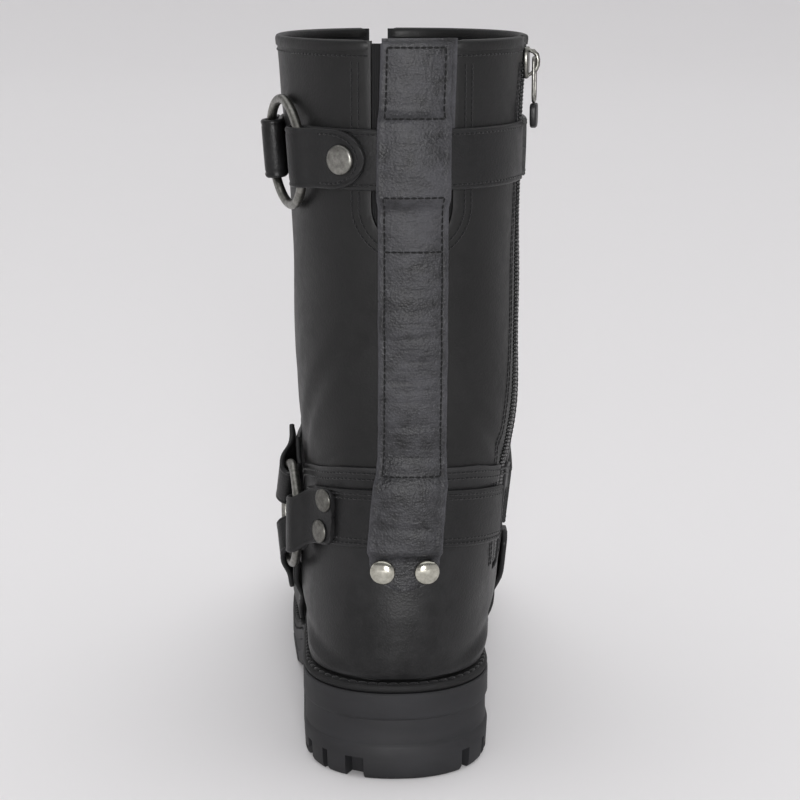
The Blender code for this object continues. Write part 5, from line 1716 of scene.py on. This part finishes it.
@dataclass
class BackStrip:
    """Strip up the back, with free loops over both straps and stitched boxes between them."""

    skin: Skin
    finishes: Finishes
    seams: Seams
    half: float = 0.0138
    ankle_z: float = 0.1160

    def lift(self, z: float) -> float:
        """Level of the strip's inner face.

        Args:
            z: height on the strip.

        Returns:
            Its distance from the leather, more over each strap.
        """
        low, high = self.ankle_z - 0.0145, self.ankle_z + 0.0140
        calf_low, calf_high = CALF_Z - 0.0145, CALF_Z + 0.0145
        over = ramp(z, low - 0.0030, low) * (1 - ramp(z, high, high + 0.006))
        over += ramp(z, calf_low - 0.006, calf_low) * (1 - ramp(z, calf_high, calf_high + 0.006))
        return GAP + STEP * (1 - ramp(z, 0.1385, 0.1425)) + over * (STRAP + GAP)

    def creased(self, v: float, z: float) -> float:
        """Small dents and swells of worn dry leather.

        Args:
            v: place across the strip, -1 to 1.
            z: height on it.

        Returns:
            Metres outward.
        """
        swell = 0.00020 * math.sin(170 * z + 2.0 * v) + 0.00013 * math.sin(460 * z + 3.1 * v + 1.0)
        swell += 0.00035 * math.exp(-(v / 0.62) ** 4) * (0.5 + 0.5 * math.sin(95 * z + 0.8))
        fine = 0.0
        for at, tall, tilt, depth in ((0.1835, 0.0009, 0.0006, 0.0003), (0.1795, 0.0008, -0.0008, 0.00035),
                                      (0.1755, 0.0010, 0.0009, 0.0004), (0.1712, 0.0008, 0.0003, 0.0003),
                                      (0.1665, 0.0010, -0.0007, 0.0003), (0.1560, 0.0014, 0.0005, 0.0003),
                                      (0.1930, 0.0012, 0.0010, 0.0003), (0.2045, 0.0014, -0.0008, 0.0003),
                                      (0.1310, 0.0013, 0.0007, 0.0004), (0.1120, 0.0016, -0.0009, 0.0004)):
            fine -= 1.7 * depth * math.exp(-((z - at - tilt * v) / tall) ** 2) * math.exp(-(v * v) / 0.7)
        return swell + fine

    def build(self) -> None:
        """Make the strip, its folded top and its stitched boxes."""
        section = StrapShape(stitched=0.80, dent=0.09, bead=0.05).profile()
        wear_and_highlight = StrapShape().wear_and_highlight()
        marks = [0.0850, 0.0853, 0.0858, 0.0866, 0.0878, 0.0895, 0.0915, 0.0940, 0.0965, 0.3112]
        heights = sorted(marks + list(np.arange(0.0985, 0.3105, 0.0013)))
        loops = []
        for z in heights:
            x = float(STRIP_LINE.at("x", z))
            base = self.lift(z)
            near_end = min(max((0.0985 - z) / 0.0135, 0.0), 1.0)
            half = self.half * max(math.sqrt(max(1 - near_end ** 2.5, 0.0)), 0.25)
            known = {}
            loop = []
            for v, h in section:
                if v not in known:
                    known[v] = self.skin.at_x(x + half * v, z)
                spot, normal = known[v]
                loop.append(spot + normal * (base + STRIP * h + self.creased(v, z) * (0.3 + 0.7 * h)))
            loops.append(loop)
        top = loops[-1]
        middle = sum(top, Vector()) / len(top)
        for rise, shrink in ((0.0004, 0.93), (0.0007, 0.75), (0.0008, 0.45)):
            loops.append([middle + (p - middle) * shrink + Vector((0, 0, rise)) for p in top])
        piece(loft("back_strip_leather", loops, edge=wear_and_highlight), self.finishes.strip, 62.0, "back_strip")
        self.second_edge()
        for low, high, rows in ((0.2820, 0.3096, 2), (0.2287, 0.2508, 2), (0.1345, 0.2287, 1)):
            self.box(low, high, rows)

    def second_edge(self) -> None:
        """Lower layer that shows beside and above the strip's top."""
        loops, top = [], 0.3115
        for z in list(np.arange(0.2760, 0.3120, 0.0024)) + [0.3126, 0.3131]:
            x = float(STRIP_LINE.at("x", min(z, 0.311)))
            loop = []
            for v, h in StrapShape(dent=0.0, bead=0.0).profile():
                level = min(z, top)
                spot, normal = self.skin.at_x(x + 0.0014 + 0.0150 * v, level)
                loop.append(spot + UP * max(z - top, 0) + normal * (-0.0003 + 0.0006 * h))
            loops.append(loop)
        backing = loft("back_strip_backing", loops, edge=StrapShape().wear_and_highlight())
        piece(backing, self.finishes.strip, 62.0, "back_strip", stands=False)

    def box(self, low: float, high: float, rows: int) -> None:
        """Stitch a box.

        Args:
            low: height of its lower seam.
            high: height of its upper seam.
            rows: 2 with an upper seam of its own, 1 where it shares the one above.
        """
        inset = self.half - 0.0026

        def at(x: float, z: float) -> tuple[Vector, Vector]:
            """A point on the strip's outer face, and its normal."""
            spot, normal = self.skin.at_x(float(STRIP_LINE.at("x", z)) + x, z)
            return spot + normal * (self.lift(z) + STRIP * 0.95 + self.creased(x / self.half, z)), normal

        number = int((high - low) / 0.003)
        for x in (-inset, inset):
            self.seams.line([at(x, z) for z in np.linspace(low, high, number)])
        for z in (low, high)[:rows]:
            self.seams.line([at(x, z) for x in np.linspace(-inset, inset, 12)])


@dataclass
class Upper:
    """The leather body of the boot: shaft, counter, vamp, collar edge, gore and their seams."""

    skin: Skin
    finishes: Finishes
    seams: Seams
    rib_height: float = 0.00018
    rib_pitch: float = 0.0016

    def outside_openings(self, points: np.ndarray) -> np.ndarray:
        """How deep points lie in the leather, away from its three openings.

        Args:
            points: rows of x, y and z.

        Returns:
            A depth for each point, negative in an opening.
        """
        side, back = points[:, 1:], points[:, ::2]
        zip_depth = np.where(points[:, 0] > 0.02, -polygon_depth(side, zip_outline(ZIP_HALF, 0.0828)), 1.0)
        back_depth = np.where(points[:, 1] < 0.0, -polygon_depth(back, back_outline(GORE_HALF)), 1.0)
        notch_depth = np.where(points[:, 1] > 0.05, -polygon_depth(back, NOTCH), 1.0)
        return np.minimum(np.minimum(zip_depth, back_depth), notch_depth)

    def counter_area(self, points: np.ndarray) -> np.ndarray:
        """How deep points lie in the heel counter.

        Args:
            points: rows of x, y and z.

        Returns:
            A depth for each point, negative outside it.
        """
        side = points[:, 1:]
        zip_depth = np.where(points[:, 0] > 0.02, -polygon_depth(side, zip_outline(ZIP_HALF, 0.0825)), 1.0)
        return np.minimum(polygon_depth(side, COUNTER_EDGE), zip_depth)

    def build(self) -> None:
        """Make every layer and its seams."""
        shell = LeatherLayer("upper_leather", self.skin, self.outside_openings, 0.0, WALL, 0.0007)
        settle(shell.build(self.finishes.shaft, self.finishes.lining), "upper")
        counter = LeatherLayer("counter_leather", self.skin, self.counter_area, STEP, STEP - GAP, 0.0005)
        settle(counter.build(self.finishes.counter), "heel_counter")
        vamp = LeatherLayer("vamp_leather", self.skin, lambda p: polygon_depth(p[:, 1:], VAMP_EDGE), STEP, STEP - GAP,
                            0.0005)
        settle(vamp.build(self.finishes.shaft), "vamp")
        self.gore()
        self.collar()
        self.stitching()

    def gore(self) -> None:
        """Elastic panel in the cut at the back, ribbed from top to bottom."""
        half = 0.0162
        heights = [GORE_Z - half * math.sin(math.radians(a)) for a in (88, 80, 70, 60, 50, 40, 30, 20, 10)]
        loops = []
        for z in heights + list(np.arange(GORE_Z, 0.3108, 0.0032)) + [0.3110]:
            wide = half if z >= GORE_Z else math.sqrt(max(half ** 2 - (GORE_Z - z) ** 2, 0.0))
            loop = []
            for inner in (True, False):
                row = []
                for v in np.linspace(-1, 1, 45):
                    spot, normal = self.skin.at_x(GORE_X + wide * v, z)
                    rib = self.rib_height * math.cos(2 * math.pi * v * wide / self.rib_pitch)
                    row.append(spot + normal * (-0.0020 if inner else -0.0009 + rib))
                loop += row if inner else row[::-1]
            loops.append(loop)
        piece(loft("gore_elastic", loops), self.finishes.elastic, 70.0, "back_gore")

    def collar(self) -> None:
        """Rolled binding along the collar between its openings."""
        below = 0.309
        zip_edge = self.skin.angle_at_y(zip_y(below), below)
        notch = [self.skin.solve(lambda p, x=x: x - p.x, below, 140.0, 220.0) - 360.0 for x in (-0.0097, -0.0003)]
        runs = ((self.skin.angle_at_x(-0.0108, below), max(notch)), (min(notch), zip_edge - 360.0 + 8.5),
                (zip_edge - 8.5, self.skin.angle_at_x(0.0222, below)))
        profile = [(0.0001, -0.0038), (0.0004, -0.0039), (0.0006, -0.0036), (0.0007, -0.0018), (0.0006, -0.0006),
                   (0.0002, 0.0001), (-0.0005, 0.0004), (-0.0011, 0.0005), (-0.0017, 0.0004), (-0.0024, 0.0001),
                   (-0.0028, -0.0006), (-0.0029, -0.0020), (-0.0028, -0.0036), (-0.0022, -0.0038), (-0.0012, -0.0034)]
        for k, (start, stop) in enumerate(runs):
            number = max(int(abs(stop - start) / 1.6), 6)
            loops = []
            for i, angle in enumerate(np.linspace(start, stop, number)):
                end = min(i, number - 1 - i)
                shrink = (0.35, 0.8, 1.0)[min(end, 2)]
                loop = []
                for level, rise in profile:
                    level = -0.0011 + (level + 0.0011) * shrink
                    rise = -0.0020 + (rise + 0.0020) * shrink
                    spot, normal = self.skin.hit(angle, COLLAR_Z - 0.0001 + min(rise, 0.0))
                    flat = Vector((normal.x, normal.y, 0)).normalized()
                    loop.append(spot + flat * level + UP * max(rise, 0.0))
                loops.append(loop)
            # The binding's top is lightened, as rubbing wear and as a painted highlight.
            wear_and_highlight = [0.25 if r > -0.001 else 0.0 for _, r in profile]
            binding = loft(f"collar_binding_{k + 1}", loops, edge=wear_and_highlight)
            piece(binding, self.finishes.shaft, 60.0, "upper", stands=False)
            self.seams.line([self.skin.onto(self.skin.hit(a, 0.3062)[0], 0.0002)
                             for a in np.linspace(start - 1.0, stop + 1.0, number)])

    def stitching(self) -> None:
        """Seams of the shaft, counter, vamp and zip."""
        for grow in (0.0048, 0.0076):
            half = GORE_HALF + grow
            path = [(GORE_X - half, z) for z in np.arange(0.3040, 0.2470, -0.002)]
            path += [(GORE_X - half * math.cos(a), GORE_Z - half * math.sin(a) * 0.92)
                     for a in np.linspace(0, math.pi, 40)]
            path += [(GORE_X + half, z) for z in np.arange(0.2470, 0.3040, 0.002)]
            self.seams.line([self.lifted(self.skin.angle_at_x(x, z), z, SEAM_STEP) for x, z in path])
        top = [(y, z - 0.0024) for y, z in COUNTER_EDGE[2:11]]
        self.side_seam(top)
        self.side_seam([(y, z - 0.0026) for y, z in top])
        for shift in (0.0024, 0.0050):
            self.side_seam([(y + shift, z) for y, z in VAMP_EDGE[1:10] if z > 0.045])
        for shift in (-0.0090, 0.0090, -0.0113, 0.0113):
            path = []
            for z in np.arange(0.0860, 0.3045, 0.003):
                level = STEP if z < (0.128 if shift < 0 else 0.118) else 0.0
                path.append(self.lifted(self.skin.angle_at_y(zip_y(z) + shift, z), z, level + SEAM_STEP))
            self.seams.line(path)

    def lifted(self, angle: float, z: float, level: float) -> tuple[Vector, Vector]:
        """A point a level above the leather, and its normal."""
        spot, normal = self.skin.hit(angle, z)
        return spot + normal * level, normal

    def side_seam(self, outline: Sequence[tuple[float, float]]) -> None:
        """Stitch along a side outline on both sides of the boot, on the counter or the vamp.

        Args:
            outline: pairs of y and z.
        """
        ys, zs = zip(*outline)
        places = np.linspace(0, len(outline) - 1, len(outline) * 8)
        for front in (175.0, -175.0):
            path = []
            for p in places:
                y = float(np.interp(p, range(len(ys)), ys))
                z = float(np.interp(p, range(len(zs)), zs))
                angle = self.skin.solve(lambda q: q.y - y, z, 0.0, front)
                path.append(self.lifted(angle, z, STEP + SEAM_STEP))
            self.seams.line(path)


@dataclass
class Sole:
    """Outsole with its heel block and lugs, and the welt over it."""

    skin: Skin
    finishes: Finishes
    seams: Seams

    def __post_init__(self) -> None:
        """Work out the edge of the upper in plan, with its outward directions."""
        power = 2 / PLAN_POWER
        turn = np.linspace(0, math.pi / 2, 24)
        heel = [HEEL_BACK_Y * math.cos(u) ** power for u in turn[:-1]]
        toe = [TOE_START_Y + (TOE_TIP_Y - TOE_START_Y) * math.sin(u) ** power for u in turn]
        ys = np.array([HEEL_BACK_Y] + heel[1:] + list(np.linspace(0, TOE_START_Y, 72)[:-1]) + toe[:-1] + [TOE_TIP_Y])
        half = plan_half(ys)
        middle = np.array([plan_middle(y) for y in ys])
        lateral, medial = np.stack([middle - half, ys], 1), np.stack([middle + half, ys], 1)
        self.edge = np.vstack([lateral, medial[1:-1][::-1]])
        along = np.roll(self.edge, -1, axis=0) - np.roll(self.edge, 1, axis=0)
        along /= np.linalg.norm(along, axis=1, keepdims=True)
        self.way = np.stack([-along[:, 1], along[:, 0]], 1)
        self.stations = len(ys)

    def ring(self, height: Callable[[float], float], grow: float) -> Loop:
        """The edge in plan, grown outward and lifted to a height that depends on y."""
        spots = self.edge + self.way * grow
        return [Vector((x, y, height(y))) for x, y in spots]

    def lofted(self, name: str, levels: Sequence[tuple[Callable[[float], float], float]]) -> bpy.types.Mesh:
        """A closed sole layer with its sides round the edge and its top and bottom across the foot.

        Args:
            name: the mesh's name.
            levels: height as a function of y, and how far the side stands in there.

        Returns:
            The mesh.
        """
        count = len(self.edge)
        points, faces = [], []
        for height, inset in levels:
            points += self.ring(height, SOLE_LEDGE - inset)
        for r in range(len(levels) - 1):
            for c in range(count):
                d = (c + 1) % count
                faces.append((r * count + c, r * count + d, (r + 1) * count + d, (r + 1) * count + c))
        for base in (0, (len(levels) - 1) * count):
            for k in range(self.stations - 1):
                near, far = (count - k) % count, count - k - 1
                if k == 0:
                    faces.append((base, base + 1, base + far))
                elif k == self.stations - 2:
                    faces.append((base + k, base + k + 1, base + near))
                else:
                    faces.append((base + k, base + k + 1, base + far, base + near))
        return mesh_of(name, points, faces)

    def insole(self) -> None:
        """Padded insole with a soft edge, seen down the shaft."""
        base = lambda y: float(PROFILE.at("top", y)) + 2 * GAP
        inset = SOLE_LEDGE + WALL + 0.0046
        rise = lambda f: (lambda y: base(y) + f * 0.0022)
        levels = ((rise(0.0), inset), (rise(0.6), inset), (rise(0.85), inset + 0.0005), (rise(1.0), inset + 0.0016))
        piece(self.lofted("insole_leather", levels), self.finishes.lining, 50.0, "insole")

    def cut(self, item: bpy.types.Object, size: tuple[float, float, float], centre: Sequence[float], turn: float
            ) -> None:
        """Take a box out of a piece.

        Args:
            item: the piece.
            size: the box's length along each of its own axes.
            centre: its middle.
            turn: its turn about z, in radians.
        """
        shape = bmesh.new()
        bmesh.ops.create_cube(shape, size=1.0)
        matrix = Matrix.Translation(centre) @ Matrix.Rotation(turn, 4, "Z") @ Matrix.Diagonal((*size, 1))
        bmesh.ops.transform(shape, matrix=matrix, verts=shape.verts)
        mesh = bpy.data.meshes.new("tool")
        shape.to_mesh(mesh)
        shape.free()
        tool = bpy.data.objects.new("tool", mesh)
        bpy.context.scene.collection.objects.link(tool)
        step = item.modifiers.new("cut", "BOOLEAN")
        step.operation, step.object, step.solver = "DIFFERENCE", tool, "EXACT"
        bake(item)
        bpy.data.objects.remove(tool)

    def build(self) -> None:
        """Make the outsole and the welt."""
        under = lambda y: float(PROFILE.at("under", y))
        top = lambda y: float(PROFILE.at("top", y)) - WELT - GAP
        part = lambda f: (lambda y: under(y) + f * (top(y) - under(y)))
        bands = ((0.0, 0.0020), (0.02, 0.0013), (0.06, 0.0006), (0.37, 0.0), (0.39, 0.0004), (0.41, 0.0009),
                 (0.55, 0.0010), (0.69, 0.0009), (0.71, 0.0003), (0.73, 0.0), (0.985, 0.0), (1.0, 0.0005))
        levels = [(part(share), inset) for share, inset in bands]
        item = link("outsole_rubber", self.lofted("outsole_rubber", levels), self.finishes.rubber)
        notches = ((-28.0, 0.0085, 0.0070), (-50.0, 0.0032, 0.0050), (-68.0, 0.0050, 0.0055),
                   (-92.0, 0.0050, 0.0055), (46.0, 0.0048, 0.0055), (68.0, 0.0036, 0.0050),
                   (92.0, 0.0050, 0.0055))
        for angle, width, depth in notches:
            turn = math.radians(angle)
            way = Vector((math.sin(turn), -math.cos(turn), 0))
            self.cut(item, (width, 0.020, 0.0200), way * (0.0408 + 0.010 - depth) + Vector((0, 0, -0.0005)), turn)
        for y in (-0.0125, 0.0085, 0.0270):
            for side in (-1, 1):
                self.cut(item, (0.0340, 0.0045, 0.0100), (side * 0.0270, y, 0.0), side * 0.15)
        for i in range(8):
            y = 0.093 + 0.0195 * i
            for side in (-1, 1):
                self.cut(item, (0.060, 0.0052, 0.0100), (side * 0.037 + 0.002, y + 0.003, under(y)), side * 0.22)
        settle(shade(item, 30.0), "outsole")
        # Welt in its near-black finish, partly painted shade of the ledge under the upper.
        low = lambda y: float(PROFILE.at("top", y)) - WELT
        rise = lambda f: (lambda y: low(y) + f * WELT)
        bands = ((0.0, 0.0012), (0.15, 0.0006), (0.35, 0.0002), (0.65, 0.0002), (0.88, 0.0006), (1.0, 0.0013))
        levels = [(rise(share), inset) for share, inset in bands]
        piece(self.lofted("welt_rubber", levels), self.finishes.welt, 40.0, "welt")
        self.welt_seam()
        self.insole()

    def welt_seam(self) -> None:
        """Stitches along the top of the welt, all the way round."""
        spots = self.ring(lambda y: float(PROFILE.at("top", y)) + SEAM_STEP, SOLE_LEDGE - 0.0020)
        self.seams.line([(spot, UP) for spot in spots], closed=True)


@dataclass
class Zip:
    """The zip: woven tape, metal teeth, slider and the hanging pull."""

    skin: Skin
    finishes: Finishes
    half: float = 0.0062

    def build(self) -> None:
        """Make the tape, teeth, slider and pull."""
        loops = []
        section = [(-1.0, -0.0016), (1.0, -0.0016)] + [(v, -0.0006 + (0.0004 if abs(v) < 0.12 else 0.0))
                                                       for v in np.linspace(1.0, -1.0, 23)]
        for z in np.linspace(0.0838, COLLAR_Z - 0.0030, 90):
            loop = []
            for v, level in section:
                point, normal = self.skin.at_zip(self.half * v, z)
                loop.append(point + Vector((level / max(normal.x, 0.3), 0, 0)))
            loops.append(loop)
        piece(loft("zip_tape_weave", loops), self.finishes.tape, 50.0, "zip_tape")
        teeth = Teeth("zip_teeth", self.finishes.teeth, pitch=0.0016, length=0.0009, width=0.0030, height=0.0014)
        for sign in (-1, 1):
            teeth.line([self.skin.at_zip(sign * 0.0012, z) for z in np.arange(0.0850 + 0.0004 * sign, 0.3080, 0.0020)])
        teeth.build()
        self.slider()

    @staticmethod
    def turn() -> Matrix:
        """Frame of the slider, with the pull's pivot at its middle.

        Returns:
            The frame, with its axes to the side, up and outward.
        """
        joint = next(j for j in frame["joints"] if j["name"] == "pull_hinge")
        side = -Vector(joint["axis"]).normalized()
        up = (UP - side * side.z).normalized()
        out = side.cross(up).normalized()
        turn = Matrix((side, up, out)).transposed().to_4x4()
        turn.translation = Vector(joint["pos_m"])
        return turn

    @staticmethod
    def rounded(name: str, mesh: bpy.types.Mesh, width: float, material: bpy.types.Material) -> bpy.types.Object:
        """A piece with its edges rounded.

        Args:
            name: the piece's name.
            mesh: its mesh.
            width: width of the rounding.
            material: its finish.

        Returns:
            The piece.
        """
        item = link(name, mesh, material)
        step = item.modifiers.new("edges", "BEVEL")
        step.width, step.segments, step.limit_method = width, 3, "ANGLE"
        bake(item)
        return shade(item, 40.0)

    @staticmethod
    def plate(name: str, outline: Sequence[tuple[float, float]], low: float, high: float, turn: Matrix
              ) -> bpy.types.Mesh:
        """A flat plate.

        Args:
            name: the mesh's name.
            outline: pairs of side and up.
            low: level of its inner face.
            high: level of its outer face.
            turn: the frame that it stands in.

        Returns:
            The mesh.
        """
        count = len(outline)
        points = [turn @ Vector((u, v, low)) for u, v in outline] + [turn @ Vector((u, v, high)) for u, v in outline]
        faces = [tuple(range(count)), tuple(range(count, 2 * count))]
        faces += [(i, (i + 1) % count, count + (i + 1) % count, count + i) for i in range(count)]
        return mesh_of(name, points, faces)

    @staticmethod
    def tube(name: str, path: Sequence[tuple[float, float, float]], wire: float, turn: Matrix,
             closed: bool = True) -> bpy.types.Mesh:
        """Round wire along a path.

        Args:
            name: the mesh's name.
            path: points in the frame.
            wire: the wire's radius.
            turn: the frame.
            closed: whether the path joins its start.

        Returns:
            The mesh.
        """
        points = [Vector(p) for p in path]
        loops = []
        count = len(points)
        for i, p in enumerate(points):
            before = points[i - 1 if closed or i else i]
            after = points[(i + 1) % count if closed else min(i + 1, count - 1)]
            along = (after - before).normalized()
            first = UP if abs(along.z) < 0.9 else Vector((1, 0, 0))
            u = along.cross(first).normalized()
            v = along.cross(u).normalized()
            loops.append([turn @ (p + u * (wire * math.cos(a)) + v * (wire * math.sin(a)))
                          for a in np.linspace(0, 2 * math.pi, 13)[:-1]])
        return loft(name, loops, closed=closed)

    def slider(self) -> None:
        """Slider body with its bridge, the wire pull and the moulded tip."""
        turn = self.turn()
        down = -0.0025
        body = [(-0.0042, 0.0044), (-0.0024, 0.0044), (-0.0012, 0.0030), (0.0012, 0.0030), (0.0024, 0.0044),
                (0.0042, 0.0044), (0.0055, 0.0020), (0.0055, -0.0020), (0.0046, -0.0062), (0.0030, -0.0086),
                (-0.0030, -0.0086), (-0.0046, -0.0062), (-0.0055, -0.0020), (-0.0055, 0.0020)]
        plate = self.plate("zip_slider_metal", body, down - 0.0016, down + 0.0001, turn)
        settle(self.rounded("zip_slider_metal", plate, 0.0005, self.finishes.antique), "zip_slider")
        arch = [(0.0, -0.0070, down - 0.0002), (0.0, -0.0066, down + 0.0016), (0.0, -0.0050, down + 0.0030),
                (0.0, -0.0030, down + 0.0038), (0.0, -0.0008, down + 0.0039), (0.0, 0.0012, down + 0.0034),
                (0.0, 0.0026, down + 0.0020), (0.0, 0.0030, down - 0.0002)]
        bridge = self.tube("zip_slider_bridge", arch, 0.0010, turn, closed=False)
        piece(bridge, self.finishes.antique, 60.0, "zip_slider", stands=False)
        width = 0.0042
        corners = [(0.0028, 0.0), (0.0038, -0.0003), (width, -0.0015), (width, -0.0080), (width, -0.0150),
                   (0.0038, -0.0168), (0.0030, -0.0178), (0.0, -0.0180)]
        path = [(u, v, 0.0) for u, v in corners] + [(-u, v, 0.0) for u, v in corners[:-1][::-1]] + [(0.0, 0.0, 0.0)]
        piece(self.tube("pull_wire", path, 0.0007, turn), self.finishes.antique, 60.0, "pull_loop", "pull")
        tip = [(-0.0036, -0.0188), (0.0036, -0.0188), (0.0048, -0.0202), (0.0050, -0.0250), (0.0040, -0.0280),
               (0.0018, -0.0290), (-0.0018, -0.0290), (-0.0040, -0.0280), (-0.0050, -0.0250), (-0.0048, -0.0202)]
        plate = self.plate("pull_tip_moulded", tip, -0.0014, 0.0014, turn)
        settle(self.rounded("pull_tip_moulded", plate, 0.0008, self.finishes.moulded), "pull_tip", "pull")


@dataclass
class Studio:
    """Pale floor, soft light and the camera at the photograph's angle."""

    flat: float = 5.0
    bend: float = 4.0
    world_strength: float = 0.26
    sun_strength: float = 1.62
    sun_spread: float = 100.0
    lamps: tuple[tuple[str, tuple[float, float, float], float, float], ...] = (
        ("front", (0.02, -2.2, 0.55), 0.34, 128.0), ("left", (-1.30, 0.42, 0.50), 0.30, 2.0),
        ("right", (1.15, 0.75, 0.50), 0.30, 0.5))
    camera_place: tuple[float, float, float] = (-0.0266, -0.8196, 0.346)
    camera_yaw: float = 2.0
    camera_pitch: float = 12.9
    focal_share: float = 1955.0 / 800.0

    def build(self) -> None:
        """Set the stage."""
        self.floor()
        self.lights()
        self.camera()

    def floor(self) -> None:
        """A wide pale floor that bends up far away, so that no horizon shows."""
        rows = [(0.02, 0.0), (1.0, 0.0), (self.flat, 0.0)]
        rows += [(self.flat + self.bend * math.sin(a), self.bend * (1 - math.cos(a)))
                 for a in np.linspace(0.0, math.pi / 2, 13)[1:]]
        turns = np.linspace(0.0, 2 * math.pi, 73)[:-1]
        points = [Vector((out * math.cos(t), out * math.sin(t), up - 0.00002)) for out, up in rows for t in turns]
        wide = len(turns)
        faces = [tuple(range(wide))]
        for row in range(len(rows) - 1):
            here, beyond = row * wide, (row + 1) * wide
            faces += [(here + k, beyond + k, beyond + (k + 1) % wide, here + (k + 1) % wide) for k in range(wide)]
        mesh = bpy.data.meshes.new("studio_floor")
        mesh.from_pydata(points, [], faces)
        mesh.shade_smooth()
        board = NodeBoard("pale_floor")
        speck = board.noise(5.0, 2.0)
        board.set(Base_Color=board.tint(speck, (0.842, 0.828, 0.836), (0.848, 0.834, 0.842)), Roughness=0.95,
                  Specular_IOR_Level=0.05)
        link("studio_floor", mesh, board.material)

    def lights(self) -> None:
        """A pale world, a very soft light from above, a lamp behind the heel and two beside the boot."""
        bpy.context.scene.view_settings.view_transform = "Standard"
        world = bpy.data.worlds.new("studio")
        bpy.context.scene.world = world
        world.use_nodes = True
        back = world.node_tree.nodes["Background"]
        back.inputs[0].default_value = (0.98, 0.98, 1.0, 1)
        back.inputs[1].default_value = self.world_strength
        sky = bpy.data.lights.new("overhead", "SUN")
        sky.energy, sky.angle = self.sun_strength, math.radians(self.sun_spread)
        item = bpy.data.objects.new("overhead", sky)
        item.rotation_euler = (math.radians(-12), math.radians(6), 0)
        bpy.context.scene.collection.objects.link(item)
        for name, place, size, power in self.lamps:
            self.lamp(name, place, size, power)

    @staticmethod
    def lamp(name: str, place: tuple[float, float, float], size: float, power: float) -> None:
        """Add a soft round lamp.

        Args:
            name: its name.
            place: where it stands.
            size: its radius.
            power: its power in watts.
        """
        data = bpy.data.lights.new(name, "POINT")
        data.energy, data.shadow_soft_size = power, size
        item = bpy.data.objects.new(name, data)
        item.location = place
        bpy.context.scene.collection.objects.link(item)

    def camera(self) -> None:
        """Camera behind the heel, a little above it, looking slightly down."""
        data = bpy.data.cameras.new("camera")
        data.sensor_width = 36.0
        data.lens = data.sensor_width * self.focal_share
        item = bpy.data.objects.new("camera", data)
        item.location = self.camera_place
        yaw, pitch = math.radians(self.camera_yaw), math.radians(self.camera_pitch)
        look = Vector((math.sin(yaw) * math.cos(pitch), math.cos(yaw) * math.cos(pitch), -math.sin(pitch)))
        item.rotation_euler = look.to_track_quat("-Z", "Y").to_euler()
        bpy.context.scene.collection.objects.link(item)
        bpy.context.scene.camera = item


def main() -> None:
    """Dress the boot piece by piece."""
    logging.basicConfig(level=logging.INFO)
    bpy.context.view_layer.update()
    finishes = Finishes()
    skin = Skin()
    shaft_seams = Seams("shaft_stitches", finishes.thread)
    strap_seams = Seams("strap_stitches", finishes.thread, pitch=0.0023, length=0.0022)
    strip_seams = Seams("strip_stitches", finishes.thread, pitch=0.0026, length=0.0027, width=0.0011, height=0.0008)
    welt_seams = Seams("welt_stitches", finishes.thread, pitch=0.0044, length=0.0042, width=0.0018, height=0.0014)
    Upper(skin, finishes, shaft_seams).build()
    Sole(skin, finishes, welt_seams).build()
    harness = Harness(skin, finishes, strap_seams)
    harness.calf_straps()
    harness.ankle_straps()
    harness.instep_strap()
    harness.arch_straps()
    harness.rings()
    BackStrip(skin, finishes, strip_seams).build()
    Fasteners(skin, finishes).build()
    Zip(skin, finishes).build()
    for seams in (shaft_seams, strap_seams, strip_seams, welt_seams):
        item = seams.build()
        LOG.info("%s: %d stitches", item.name, len(seams.spots))
    Studio().build()


if __name__ == "__main__":
    main()
